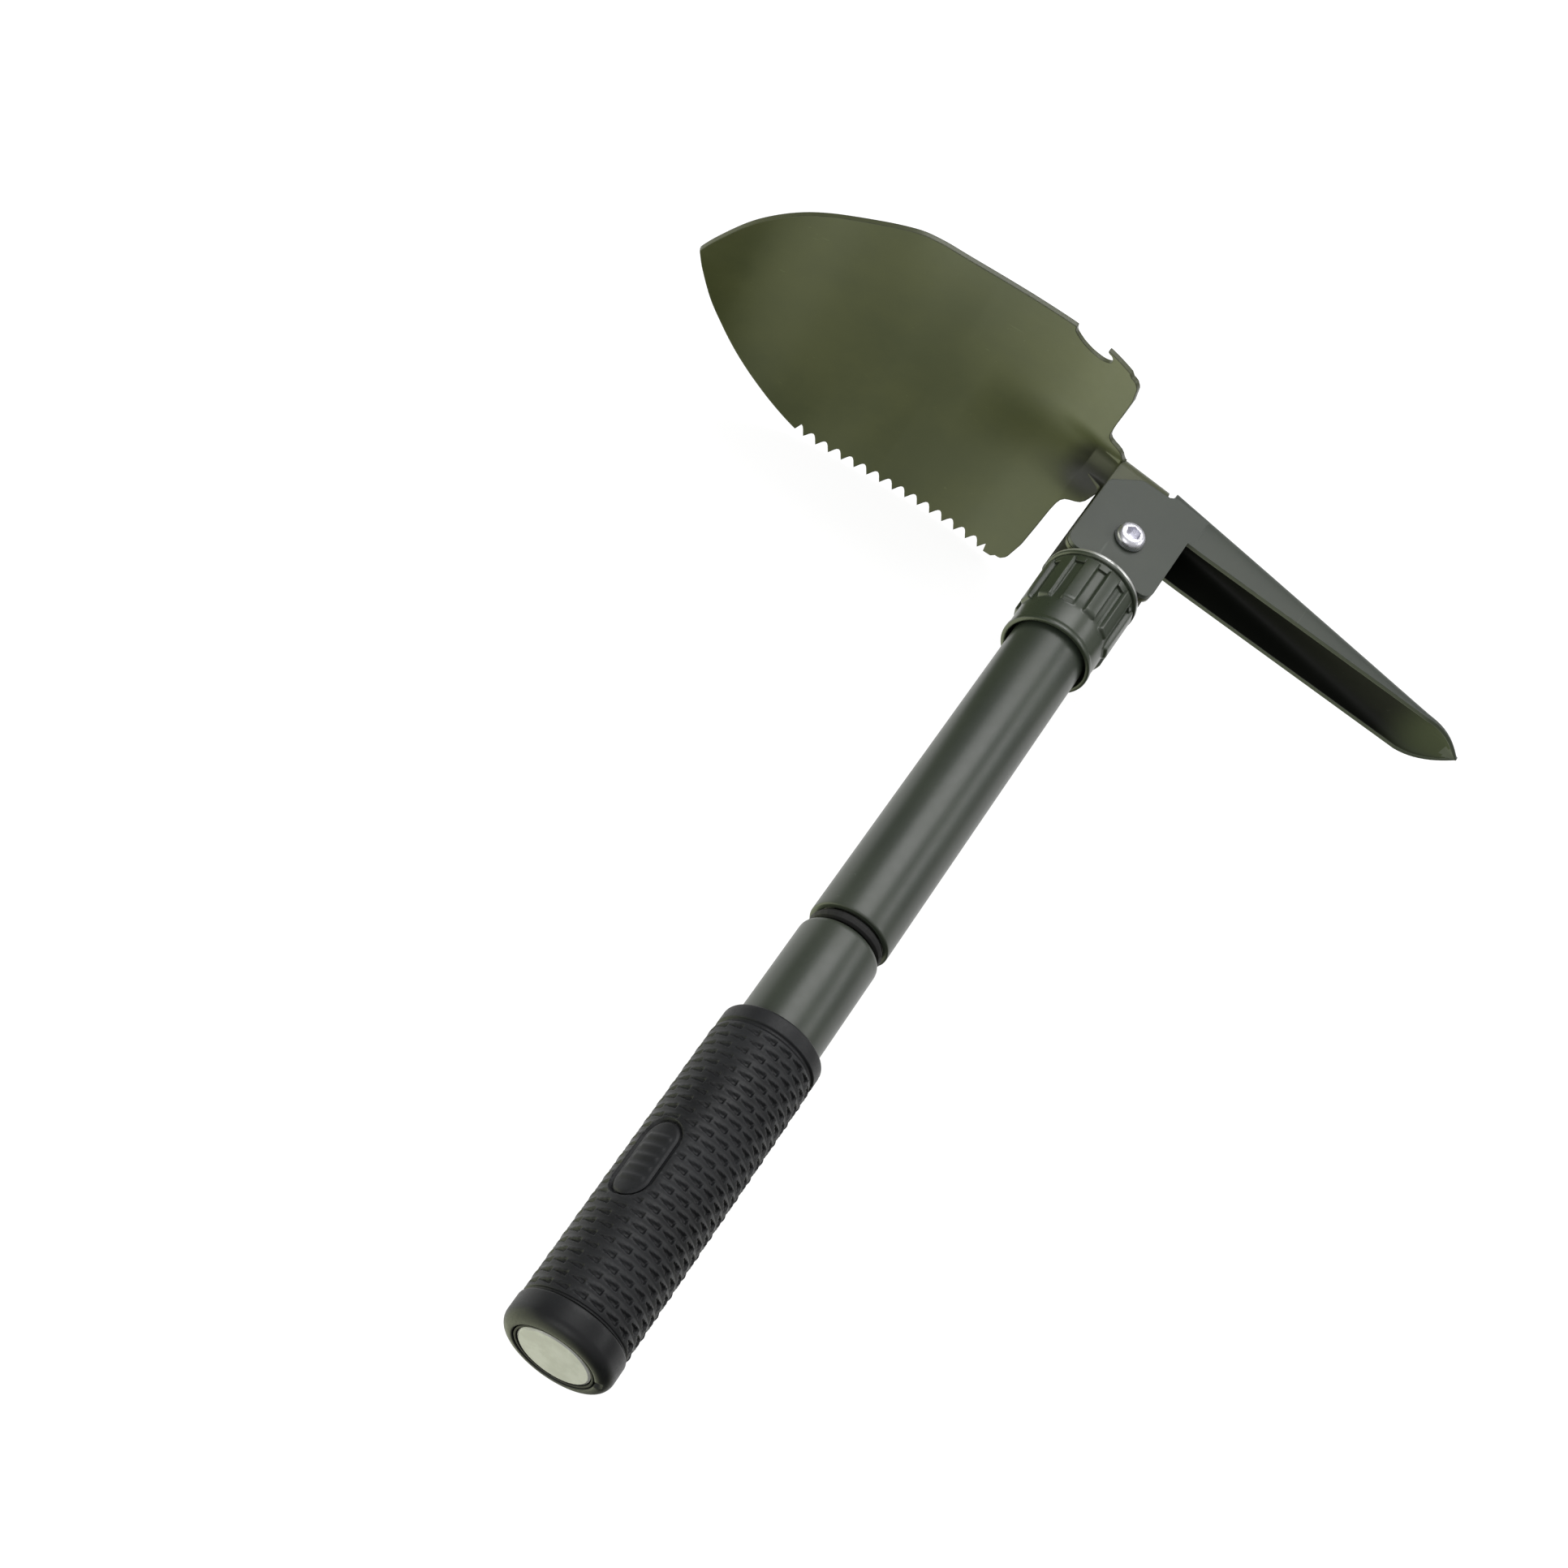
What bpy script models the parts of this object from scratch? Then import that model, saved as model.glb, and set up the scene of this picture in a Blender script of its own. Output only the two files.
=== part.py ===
"""Folding camp shovel: a pressed steel blade and a channel pick share one pivot
bolt on a tubular handle that unscrews in the middle.

Layout of the model frame, before the final shift: the pivot bolt's axis is Z
through the origin, +X points from the grip towards the head, +Y is the side the
blade stands on and -Y is the side the pick stands on.  The last step shifts
everything so that the origin lies under the middle of the object.
All dimensions below are millimetres; M() turns them into metres.
"""
import bpy
import bmesh
import math
from mathutils import Matrix, Vector

# ---------------------------------------------------------------- dimensions
TUBE_R = 11.0            # both handle tubes, outside
TUBE_WALL = 1.6
UPPER_END = -155.5       # lower rim of the upper tube
TUBE_TOP = -39.8         # upper tube's top edge, hidden in the lock nut's skirt
SHEET = 1.4              # pressed sheet of the blade and the pick
GAP = 0.3                # space kept between neighbouring pieces

CHEEK = 14.2             # half length of the square bracket cheeks
CHEEK_CORNER = 4.5       # radius of the cheeks' corners
PICK_HALF = 9.0          # pick bracket, half width outside
BLADE_HALF = 7.3         # blade bracket, half width outside (nested in the pick's)
PICK_WEB_X = 27.8        # outer face of the pick's web at the root
BLADE_WEB_X = 29.0       # outer face of the blade bracket's web
PICK_WEB_Y = -4.0        # the pick's web starts here
BLADE_WEB_Y = -2.5       # the blade bracket's web ends here, leaving a notch

NECK_Y = 22.0            # the blade's rear edge
TIP_Y = 144.6            # the blade's point
BLADE_W = 46.8           # half width of the blade
SHOULDER_W = 44.0        # half width at the shoulders
NOSE = ((82.0, 46.8), (88.0, 46.8), (94.0, 46.1), (100.0, 43.9), (106.0, 41.0), (112.0, 37.7),
        (118.0, 34.0), (124.0, 29.5), (130.0, 23.7), (136.0, 16.3), (142.0, 5.8),
        (144.6, 0.0))            # half width along the nose
EDGE_X = ((22.0, 13.0), (40.0, 14.0), (58.0, 12.6), (82.0, 8.9),
          (106.0, 5.1), (130.0, 2.0), (144.6, -2.6))      # height of the rim
DISH = ((22.0, 10.0), (50.0, 7.6), (90.0, 5.6), (125.0, 2.6), (144.6, 0.0))
TEETH = 15
TOOTH_FIRST = 32.4       # first tooth's tip
TOOTH_PITCH = 4.38
TOOTH_DEPTH = 2.8

PICK_TIP_Y = -113.3
PICK_TIP_X = 18.4        # outer face of the pick at its point
PICK_EDGE_ROOT = 12.6    # free edge of the pick's flanges at the root
PICK_EDGE_END = 14.8     # and where the flanges run out
PICK_RUNOUT_Y = -98.0

TONGUE_HALF = 4.5        # head fitting's tongue, half thickness
TONGUE_R = 9.2           # tongue's half width and end radius
SHANK_R = 10.3           # head fitting's threaded shank
BOLT_R = 3.0
HEAD_R = 4.5             # bolt head
HEAD_H = 2.7

NUT_TOP = -15.5
NUT_BOTTOM = -45.3
NUT_RIM_R = 14.3
NUT_CB_R = 13.5          # counterbore that swallows the cheeks' corners
NUT_CB_FLOOR = -19.9
NUT_THREAD_R = 10.6
NUT_THREAD_END = -30.0
NUT_SKIRT_R = 12.0
NUT_BODY_R = 13.2
NUT_LUG_R = 14.2
NUT_LUGS = 12

GRIP_TOP = -192.5
GRIP_BAND = -197.6
GRIP_END = -278.2
GRIP_R = 13.6
COLLAR_R = 13.9
BUTT = -286.0
BADGE_X = -240.0         # oval panel on the grip
BADGE_ANGLE = 45.0       # degrees from +Z towards +Y
BADGE_L = 22.0
BADGE_W = 10.6

# the object's middle and its lowest point, for the final shift
SHEET_OUT_Y = 0.54       # the sheet's thickness stands out beyond the point
SHEET_OUT_Z = 0.35       # and beyond the long edges
SHIFT = Vector((-(BUTT + BLADE_WEB_X) / 2.0, -(TIP_Y + SHEET_OUT_Y + PICK_TIP_Y) / 2.0,
                BLADE_W + SHEET_OUT_Z))


def M(v):
    return v * 0.001


# ------------------------------------------------------------------- helpers
for ob in list(bpy.data.objects):
    bpy.data.objects.remove(ob, do_unlink=True)

COL = bpy.context.scene.collection
MATS = {}


def material(name, rgb, rough, metal=0.0):
    if name not in MATS:
        m = bpy.data.materials.new(name)
        m.use_nodes = True
        b = m.node_tree.nodes["Principled BSDF"]
        b.inputs["Base Color"].default_value = (*rgb, 1.0)
        b.inputs["Roughness"].default_value = rough
        b.inputs["Metallic"].default_value = metal
        m.diffuse_color = (*rgb, 1.0)
        MATS[name] = m
    return MATS[name]


def empty(name, loc_mm):
    e = bpy.data.objects.new(name, None)
    e.empty_display_size = 0.01
    e.location = Vector(loc_mm) * 0.001
    COL.objects.link(e)
    return e


ROOT = empty("frame_root", SHIFT)
PIVOT = empty("pivot_axis", (0, 0, 0))
HANDLE = empty("handle_axis", (0, 0, 0))
PIVOT.parent = ROOT
HANDLE.parent = ROOT


def finish(bm, name, mat, parent=None, smooth=35.0, cutter=False):
    bmesh.ops.remove_doubles(bm, verts=bm.verts, dist=1e-7)
    bmesh.ops.recalc_face_normals(bm, faces=bm.faces)
    me = bpy.data.meshes.new(name)
    bm.to_mesh(me)
    bm.free()
    if smooth:
        me.shade_smooth()
        me.set_sharp_from_angle(angle=math.radians(smooth))
    ob = bpy.data.objects.new(name, me)
    COL.objects.link(ob)
    ob.parent = parent or ROOT
    if cutter:
        ob.hide_render = True
        ob.display_type = 'WIRE'
    else:
        me.materials.append(mat)
    return ob


def turned(name, profile, mat, n=40, axis='X', closed=True, centre=(0, 0), parent=None,
           cutter=False, smooth=35.0):
    """Spin a profile of (along, radius) points.  closed: a ring-shaped piece;
    otherwise the profile starts and ends on the axis."""
    bm = bmesh.new()
    pts = []
    for a, r in profile:
        if axis == 'X':
            pts.append(Vector((M(a), M(centre[0]) + M(r), M(centre[1]))))
        else:
            pts.append(Vector((M(centre[0]) + M(r), M(centre[1]), M(a))))
    vs = [bm.verts.new(p) for p in pts]
    edges = [bm.edges.new((vs[i], vs[i + 1])) for i in range(len(vs) - 1)]
    if closed:
        edges.append(bm.edges.new((vs[-1], vs[0])))
    if axis == 'X':
        cent, ax = Vector((0, M(centre[0]), M(centre[1]))), Vector((1, 0, 0))
    else:
        cent, ax = Vector((M(centre[0]), M(centre[1]), 0)), Vector((0, 0, 1))
    bmesh.ops.spin(bm, geom=vs + edges, cent=cent, axis=ax, angle=2 * math.pi,
                   steps=n, use_merge=True)
    bmesh.ops.remove_doubles(bm, verts=bm.verts, dist=2e-6)
    return finish(bm, name, mat, parent, smooth, cutter)


def arc(cx, cy, r, a0, a1, n):
    return [(cx + r * math.cos(math.radians(a0 + (a1 - a0) * i / n)),
             cy + r * math.sin(math.radians(a0 + (a1 - a0) * i / n))) for i in range(n + 1)]


def rounded(points, n=5):
    """A polygon of (x, y, corner radius) with its corners rounded."""
    out = []
    k = len(points)
    for i in range(k):
        x, y, r = points[i]
        if r <= 0:
            out.append((x, y))
            continue
        p = Vector((x, y))
        a = (Vector(points[i - 1][:2]) - p).normalized()
        b = (Vector(points[(i + 1) % k][:2]) - p).normalized()
        half = a.angle(b) / 2.0
        d = r / math.tan(half)
        c = p + (a + b).normalized() * (r / math.sin(half))
        s = p + a * d - c
        e = p + b * d - c
        turn = s.angle_signed(e)
        for j in range(n + 1):
            v = s.copy()
            v.rotate(Matrix.Rotation(-turn * j / n, 2))
            out.append(tuple(c + v))
    return out


def prism(name, pts, lo, hi, axis, mat, parent=None, cutter=False, smooth=35.0):
    """Extrude a closed outline.  axis Z: outline in (x, y); axis Y: outline in
    (x, z); axis X: outline in (y, z)."""
    bm = bmesh.new()

    def place(p, h):
        if axis == 'Z':
            return Vector((M(p[0]), M(p[1]), M(h)))
        if axis == 'Y':
            return Vector((M(p[0]), M(h), M(p[1])))
        return Vector((M(h), M(p[0]), M(p[1])))
    vs = [bm.verts.new(place(p, lo)) for p in pts]
    face = bm.faces.new(vs)
    ext = bmesh.ops.extrude_face_region(bm, geom=[face])
    top = [g for g in ext["geom"] if isinstance(g, bmesh.types.BMVert)]
    d = place((0, 0), hi) - place((0, 0), lo)
    bmesh.ops.translate(bm, verts=top, vec=d)
    return finish(bm, name, mat, parent, smooth, cutter)


def boolean(ob, cutter, op='DIFFERENCE'):
    m = ob.modifiers.new(op.lower(), 'BOOLEAN')
    m.operation = op
    m.solver = 'EXACT'
    m.object = cutter
    return m


def keys(table, y):
    """Smooth (Catmull-Rom) reading of a short table of (station, value)."""
    if y <= table[0][0]:
        return table[0][1]
    if y >= table[-1][0]:
        return table[-1][1]
    for i in range(len(table) - 1):
        if table[i][0] <= y <= table[i + 1][0]:
            break
    x0, v0 = table[i]
    x1, v1 = table[i + 1]
    xm, vm = table[i - 1] if i else (2 * x0 - x1, 2 * v0 - v1)
    xp, vp = table[i + 2] if i + 2 < len(table) else (2 * x1 - x0, 2 * v1 - v0)
    s0, s1 = (v1 - vm) / (x1 - xm), (vp - v0) / (xp - x0)
    t, h = (y - x0) / (x1 - x0), x1 - x0
    return ((2 * t ** 3 - 3 * t ** 2 + 1) * v0 + (t ** 3 - 2 * t ** 2 + t) * h * s0
            + (-2 * t ** 3 + 3 * t ** 2) * v1 + (t ** 3 - t ** 2) * h * s1)


# ----------------------------------------------------------------- materials
PAINT = material("olive_paint", (0.125, 0.150, 0.100), 0.38)
PAINT_HEAD = material("head_paint", (0.110, 0.125, 0.100), 0.42)
PAINT_NUT = material("nut_paint", (0.065, 0.085, 0.060), 0.36)
PAINT_TUBE = material("tube_paint", (0.095, 0.115, 0.100), 0.33)
ZINC = material("zinc_plate", (0.72, 0.72, 0.75), 0.28, 1.0)
STEEL = material("bare_steel", (0.55, 0.56, 0.56), 0.35, 1.0)
BRASS = material("brass", (0.70, 0.52, 0.24), 0.35, 1.0)
BLACK = material("black_grip", (0.022, 0.023, 0.026), 0.55)
RUBBER = material("black_rubber", (0.012, 0.012, 0.013), 0.7)
NYLON = material("nylon", (0.55, 0.54, 0.50), 0.5)
DIAL = material("dial", (0.62, 0.62, 0.54), 0.45)
LENS = material("lens", (0.85, 0.88, 0.85), 0.05)
NEEDLE = material("needle_red", (0.55, 0.03, 0.02), 0.4)


# --------------------------------------------------------------------- blade
def blade_half_width(y):
    if y <= 40.0:
        t = max(y - NECK_Y, 0.0) / (40.0 - NECK_Y)
        return SHOULDER_W + (BLADE_W - SHOULDER_W) * math.sin(t * math.pi / 2)
    return max(keys(NOSE, y), 0.0)


def trough(y, z):
    """The half-round hollow that runs out of the bracket into the dish."""
    if y >= 60.0:
        return 0.0
    t = max((y - NECK_Y) / (60.0 - NECK_Y), 0.0)
    depth = 4.6 * (1.0 - t) ** 1.6
    width = 8.5 + 7.0 * t
    return depth * math.exp(-(abs(z) / width) ** 2.6)


def blade_x(y, z):
    """Front (hollow) face of the blade at (y, z)."""
    w = max(blade_half_width(y), 1.0)
    u = min(abs(z) / w, 1.0)
    p = 1.25 + 0.75 * min(max((y - NECK_Y) / 48.0, 0.0), 1.0)
    return keys(EDGE_X, y) + keys(DISH, y) * (1.0 - u ** p) + trough(y, z)


def tooth_inset(y):
    """How far the saw side is cut in at station y (0 at a tooth's tip)."""
    t = (y - TOOTH_FIRST) / TOOTH_PITCH
    if t < -0.5 or t > TEETH - 0.5:
        return 0.0
    return TOOTH_DEPTH * 2.0 * abs(t - round(t))


# the rear edge: a narrow neck in the bracket's mouth that fillets out to the shoulders
REAR = ((13.6, 7.0), (14.4, 9.2), (15.3, 11.4), (16.3, 12.6), (17.5, 13.3), (19.2, 14.0),
        (20.4, 14.7), (21.2, 15.8), (21.6, 17.4), (21.85, 20.5), (22.05, 28.0), (22.3, 36.0),
        (23.4, 42.0), (25.0, 43.9), (27.6, 44.3))
rows = [r[0] for r in REAR]
rows += [TOOTH_FIRST + TOOTH_PITCH * (i / 2.0) for i in range(-1, 2 * TEETH)]
rows += [102.0, 107.0, 112.0, 117.0, 122.0, 127.0, 131.5, 135.5, 139.0, 141.8, 143.6, 144.5]
COLS = 14
bm = bmesh.new()
grid = []
for y in rows:
    line = []
    for j in range(COLS + 1):
        s = -1.0 + 2.0 * j / COLS
        s = math.copysign(abs(s) ** 1.15, s)
        w = blade_half_width(y)
        for yr, wr in REAR:
            if y == yr:
                w = wr
        if s < 0:
            w -= tooth_inset(y) * min(1.0, abs(s) ** 6)
        z = s * w
        line.append(bm.verts.new((M(blade_x(y, z)), M(y), M(z))))
    grid.append(line)
for a, b in zip(grid[:-1], grid[1:]):
    for j in range(COLS):
        bm.faces.new((a[j], b[j], b[j + 1], a[j + 1]))
for f in bm.faces:
    f.normal_update()
if sum(f.normal.x for f in bm.faces) < 0:
    bmesh.ops.reverse_faces(bm, faces=bm.faces)
me = bpy.data.meshes.new("blade")
bm.to_mesh(me)
bm.free()
me.materials.append(PAINT)
blade = bpy.data.objects.new("blade", me)
COL.objects.link(blade)
blade.parent = PIVOT
sol = blade.modifiers.new("sheet", 'SOLIDIFY')
sol.thickness = M(SHEET)
sol.offset = 1.0
sol.use_even_offset = False


def u_section(half, web_x, bend, end_x, t, n=6):
    """Outline in (x, z) of a channel open towards -X."""
    out = [(end_x, -half)]
    out += arc(web_x - bend, -half + bend, bend, -90, 0, n)
    out += arc(web_x - bend, half - bend, bend, 0, 90, n)
    out += [(end_x, half), (end_x, half - t)]
    inner = arc(web_x - bend, half - bend, bend - t, 90, 0, n)
    inner += arc(web_x - bend, -half + bend, bend - t, 0, -90, n)
    return out + inner + [(end_x, -half + t)]


bracket = prism("blade_bracket_stock", u_section(BLADE_HALF, BLADE_WEB_X, 5.5, -20.0, SHEET),
                -20.0, 24.0, 'Y', None, PIVOT, cutter=True)
outline = rounded([(-CHEEK, -CHEEK, CHEEK_CORNER), (-CHEEK, CHEEK, CHEEK_CORNER),
                   (21.0, CHEEK, 2.0), (24.0, 18.0, 1.0), (24.6, 19.4, 0.0), (33.0, 19.4, 0.0),
                   (33.0, BLADE_WEB_Y, 0.0), (19.0, BLADE_WEB_Y - 1.0, 0.0), (13.0, -CHEEK, 4.0)])
shape = prism("blade_bracket_outline", outline, -20.0, 20.0, 'Z', None, PIVOT, cutter=True)
boolean(bracket, shape, 'INTERSECT')
boolean(blade, bracket, 'UNION')
hole = turned("blade_bolt_hole", [(-20, 0), (-20, BOLT_R + 0.3), (20, BOLT_R + 0.3), (20, 0)],
              None, 24, 'Z', False, parent=PIVOT, cutter=True)
boolean(blade, hole)
# bottle-opener notch with its small hook, on the +Z side behind the shoulder
NOTCH = ((48.0, 52.0), (46.6, 46.9), (46.1, 45.1), (44.7, 43.8), (42.6, 42.5), (39.8, 41.5),
         (37.1, 41.3), (35.1, 41.7), (33.6, 42.8), (33.4, 44.4), (34.2, 45.6), (35.8, 46.6),
         (35.2, 52.0))
notch = prism("opener_notch", NOTCH, -5.0, 30.0, 'X', None, PIVOT, cutter=True)
boolean(blade, notch)

# ---------------------------------------------------------------------- pick
def pick_section(y):
    """Ring of (x, z) points: outer face, then inner face back."""
    run = min(max((PICK_WEB_Y - y) / (PICK_WEB_Y - PICK_TIP_Y), 0.0), 1.0)
    centre = PICK_WEB_X + (PICK_TIP_X - PICK_WEB_X) * run
    edge = PICK_EDGE_ROOT + (PICK_EDGE_END - PICK_EDGE_ROOT) * min(
        max((-20.0 - y) / (-20.0 - PICK_RUNOUT_Y), 0.0), 1.0)
    half = PICK_HALF - 0.02
    if y < PICK_RUNOUT_Y:
        t = (PICK_RUNOUT_Y - y) / (PICK_RUNOUT_Y - PICK_TIP_Y)
        half *= max(1.0 - t ** 2.2, 0.03)
        edge += (PICK_TIP_X - 1.2 - PICK_EDGE_END) * t
    n = 7.0 + (2.1 - 7.0) * min(run * 1.15, 1.0)
    k = 9
    out, inn = [], []
    th = min(SHEET, half * 0.6)
    for i in range(2 * k + 1):
        a = math.pi * (i / (2.0 * k))
        c, s = math.cos(a), math.sin(a)
        cz = math.copysign(abs(c) ** (2.0 / n), c)
        sx = abs(s) ** (2.0 / n)
        out.append((edge + (centre - edge) * sx, half * cz))
        inn.append((edge + (centre - SHEET - edge) * sx, (half - th) * cz))
    return out, inn


stations = [PICK_WEB_Y, -8.0, -14.0, -20.0, -32.0, -46.0, -60.0, -74.0, -86.0, -94.0, -98.0,
            -101.5, -104.5, -107.0, -109.2, -111.0, -112.4, PICK_TIP_Y]
bm = bmesh.new()
outer, inner = [], []
for y in stations:
    o, i = pick_section(y)
    outer.append([bm.verts.new((M(x), M(y), M(z))) for x, z in o])
    inner.append([bm.verts.new((M(x), M(y), M(z))) for x, z in i])
m = len(outer[0])
for a in range(len(stations) - 1):
    for j in range(m - 1):
        bm.faces.new((outer[a][j], outer[a][j + 1], outer[a + 1][j + 1], outer[a + 1][j]))
        bm.faces.new((inner[a][j + 1], inner[a][j], inner[a + 1][j], inner[a + 1][j + 1]))
    for j in (0, m - 1):
        bm.faces.new((outer[a][j], outer[a + 1][j], inner[a + 1][j], inner[a][j]))
for a in (0, len(stations) - 1):
    for j in range(m - 1):
        bm.faces.new((outer[a][j], outer[a][j + 1], inner[a][j + 1], inner[a][j]))
pick = finish(bm, "pick", PAINT_HEAD, PIVOT)
stock = prism("pick_bracket_stock", u_section(PICK_HALF, PICK_WEB_X, 3.0, -20.0, SHEET),
              -26.0, 20.0, 'Y', None, PIVOT, cutter=True)
outline = rounded([(-CHEEK, -CHEEK, CHEEK_CORNER), (-CHEEK, CHEEK, CHEEK_CORNER),
                   (14.2, CHEEK, 4.5), (22.0, 6.0, 3.0), (24.2, -2.6, 0.0), (24.2, -6.0, 0.0),
                   (24.2, -16.0, 0.0), (14.0, -16.0, 0.0), (PICK_EDGE_ROOT, -CHEEK - 0.1, 0.0)])
shape = prism("pick_bracket_outline", outline, -20.0, 20.0, 'Z', None, PIVOT, cutter=True)
boolean(stock, shape, 'INTERSECT')
boolean(pick, stock, 'UNION')
hole = turned("pick_bolt_hole", [(-20, 0), (-20, BOLT_R + 0.3), (20, BOLT_R + 0.3), (20, 0)],
              None, 24, 'Z', False, parent=PIVOT, cutter=True)
boolean(pick, hole)

# -------------------------------------------------------------- head fitting
fitting = turned("head_fitting",
                 [(-18.9, 0.0), (-18.9, SHANK_R - 0.8), (-19.7, SHANK_R), (-38.2, SHANK_R),
                  (-38.2, 9.2), (-39.5, 9.2), (-62.0, 9.1), (-62.0, 0.0)],
                 STEEL, 36, 'X', False, parent=HANDLE)
tongue_pts = [(-24.0, -TONGUE_R), (0.0, -TONGUE_R)]
tongue_pts += arc(0.0, 0.0, TONGUE_R, -90, 90, 14)[1:]
tongue_pts += [(-24.0, TONGUE_R)]
tongue = prism("tongue", tongue_pts, -TONGUE_HALF, TONGUE_HALF, 'Z', None, HANDLE, cutter=True)
boolean(fitting, tongue, 'UNION')
bore = turned("tongue_bore", [(-20, 0), (-20, 4.6), (20, 4.6), (20, 0)], None, 28, 'Z', False,
              parent=HANDLE, cutter=True)
boolean(fitting, bore)
PIN_X = -48.0
pin_bore = turned("pin_bore", [(-20, 0), (-20, 1.8), (20, 1.8), (20, 0)], None, 16, 'Z', False,
                  centre=(PIN_X, 0), parent=HANDLE, cutter=True)
boolean(fitting, pin_bore)
hollow = turned("fitting_hollow", [(-63, 0), (-63, 6.0), (-53, 6.0), (-51, 0)], None, 24, 'X',
                False, parent=HANDLE, cutter=True)
boolean(fitting, hollow)
turned("fitting_pin", [(-8.9, 0), (-8.9, 1.5), (8.9, 1.5), (8.9, 0)], STEEL, 16, 'Z', False,
       centre=(PIN_X, 0), parent=HANDLE)
turned("stop_ring", [(-38.5, 9.6), (-38.5, 10.9), (-39.3, 10.9), (-39.3, 9.6)], STEEL, 32,
       parent=HANDLE)

# ----------------------------------------------------------------- pivot set
bolt_profile = [(-15.2, 0.0), (-15.2, BOLT_R - 0.5), (-14.7, BOLT_R), (9.3, BOLT_R),
                (9.3, HEAD_R)]
bolt_profile += [(9.3 + 0.5 + (HEAD_H - 0.5) * math.sin(math.radians(a)),
                  HEAD_R * 0.56 + HEAD_R * 0.44 * math.cos(math.radians(a)))
                 for a in (0, 30, 60, 90)]
bolt_profile += [(9.3 + HEAD_H, 0.0)]
bolt = turned("pivot_bolt", bolt_profile, ZINC, 32, 'Z', False, parent=PIVOT)
socket = prism("hex_socket", [(2.3 * math.cos(math.radians(60 * i + 12)),
                               2.3 * math.sin(math.radians(60 * i + 12))) for i in range(6)],
               10.2, 14.0, 'Z', None, PIVOT, cutter=True)
boolean(bolt, socket)
turned("pivot_bush", [(-5.5, 3.3), (-5.5, 4.3), (5.5, 4.3), (5.5, 3.3)], BRASS, 28, 'Z',
       parent=PIVOT)
bm_pairs = ((4.8, 5.6), (-5.6, -4.8))
for k, (lo, hi) in enumerate(bm_pairs):
    w = turned("pivot_washer_%s" % ("top", "bottom")[k],
               [(lo, 4.6), (lo, 8.6), (hi, 8.6), (hi, 4.6)], NYLON, 32, 'Z', parent=PIVOT)
turned("bolt_washer", [(-10.3, 3.3), (-10.3, 6.4), (-9.3, 6.4), (-9.3, 3.3)], ZINC, 32, 'Z',
       parent=PIVOT)
hexa = [(5.7 * math.cos(math.radians(60 * i)), 5.7 * math.sin(math.radians(60 * i)))
        for i in range(6)]
nut6 = prism("pivot_nut", hexa, -14.4, -10.6, 'Z', ZINC, PIVOT)
hole = turned("pivot_nut_hole", [(-30, 0), (-30, 3.3), (0, 3.3), (0, 0)], None, 24, 'Z', False,
              parent=PIVOT, cutter=True)
boolean(nut6, hole)

# ------------------------------------------------------------------ lock nut
def nut_ring(x, lug):
    """One ring of the nut's outside: lug 0..1 is how far the lugs stand out."""
    per = 6
    pts = []
    for i in range(NUT_LUGS * per):
        up = 1.0 if 1 <= i % per <= 4 else 0.0
        r = lug[0] + (lug[1] - lug[0]) * up
        a = 2 * math.pi * (i + 0.5) / (NUT_LUGS * per)
        pts.append((x, r * math.cos(a), r * math.sin(a)))
    return pts


bm = bmesh.new()
rings = [(NUT_TOP, (NUT_RIM_R - 0.3, NUT_RIM_R - 0.3)), (NUT_TOP - 0.4, (NUT_RIM_R, NUT_RIM_R)),
         (NUT_TOP - 2.0, (NUT_RIM_R, NUT_RIM_R)),
         (NUT_TOP - 2.3, (NUT_BODY_R, NUT_LUG_R)), (NUT_TOP - 20.5, (NUT_BODY_R, NUT_LUG_R)),
         (NUT_TOP - 21.0, (NUT_BODY_R, NUT_BODY_R)), (NUT_BOTTOM + 0.3, (12.95, 12.95)),
         (NUT_BOTTOM, (12.7, 12.7)), (NUT_BOTTOM, (NUT_SKIRT_R, NUT_SKIRT_R)),
         (NUT_THREAD_END, (NUT_SKIRT_R, NUT_SKIRT_R)), (NUT_THREAD_END, (NUT_THREAD_R,) * 2),
         (NUT_CB_FLOOR, (NUT_THREAD_R,) * 2), (NUT_CB_FLOOR, (NUT_CB_R,) * 2),
         (NUT_TOP, (NUT_CB_R,) * 2)]
loops = [[bm.verts.new([M(c) for c in p]) for p in nut_ring(x, lug)] for x, lug in rings]
n = len(loops[0])
for a in range(len(loops)):
    p, q = loops[a], loops[(a + 1) % len(loops)]
    for j in range(n):
        bm.faces.new((p[j], p[(j + 1) % n], q[(j + 1) % n], q[j]))
finish(bm, "lock_nut", PAINT_NUT, HANDLE, 30.0)
turned("thrust_washer", [(-19.6, 10.7), (-19.6, 13.2), (-18.8, 13.2), (-18.8, 10.7)], NYLON, 40,
       parent=HANDLE)

# ------------------------------------------------------------- handle tubes
turned("upper_tube", [(TUBE_TOP, TUBE_R - TUBE_WALL), (TUBE_TOP, TUBE_R - 0.3),
                      (TUBE_TOP - 0.4, TUBE_R), (UPPER_END + 0.4, TUBE_R),
                      (UPPER_END, TUBE_R - 0.4), (UPPER_END, TUBE_R - TUBE_WALL)],
       PAINT_TUBE, 40, parent=HANDLE)
turned("thread_insert", [(UPPER_END + 0.6, 7.6), (UPPER_END + 0.6, 9.1),
                         (UPPER_END + 20.0, 9.1), (UPPER_END + 20.0, 7.6)], STEEL, 36,
       parent=HANDLE)
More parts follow.
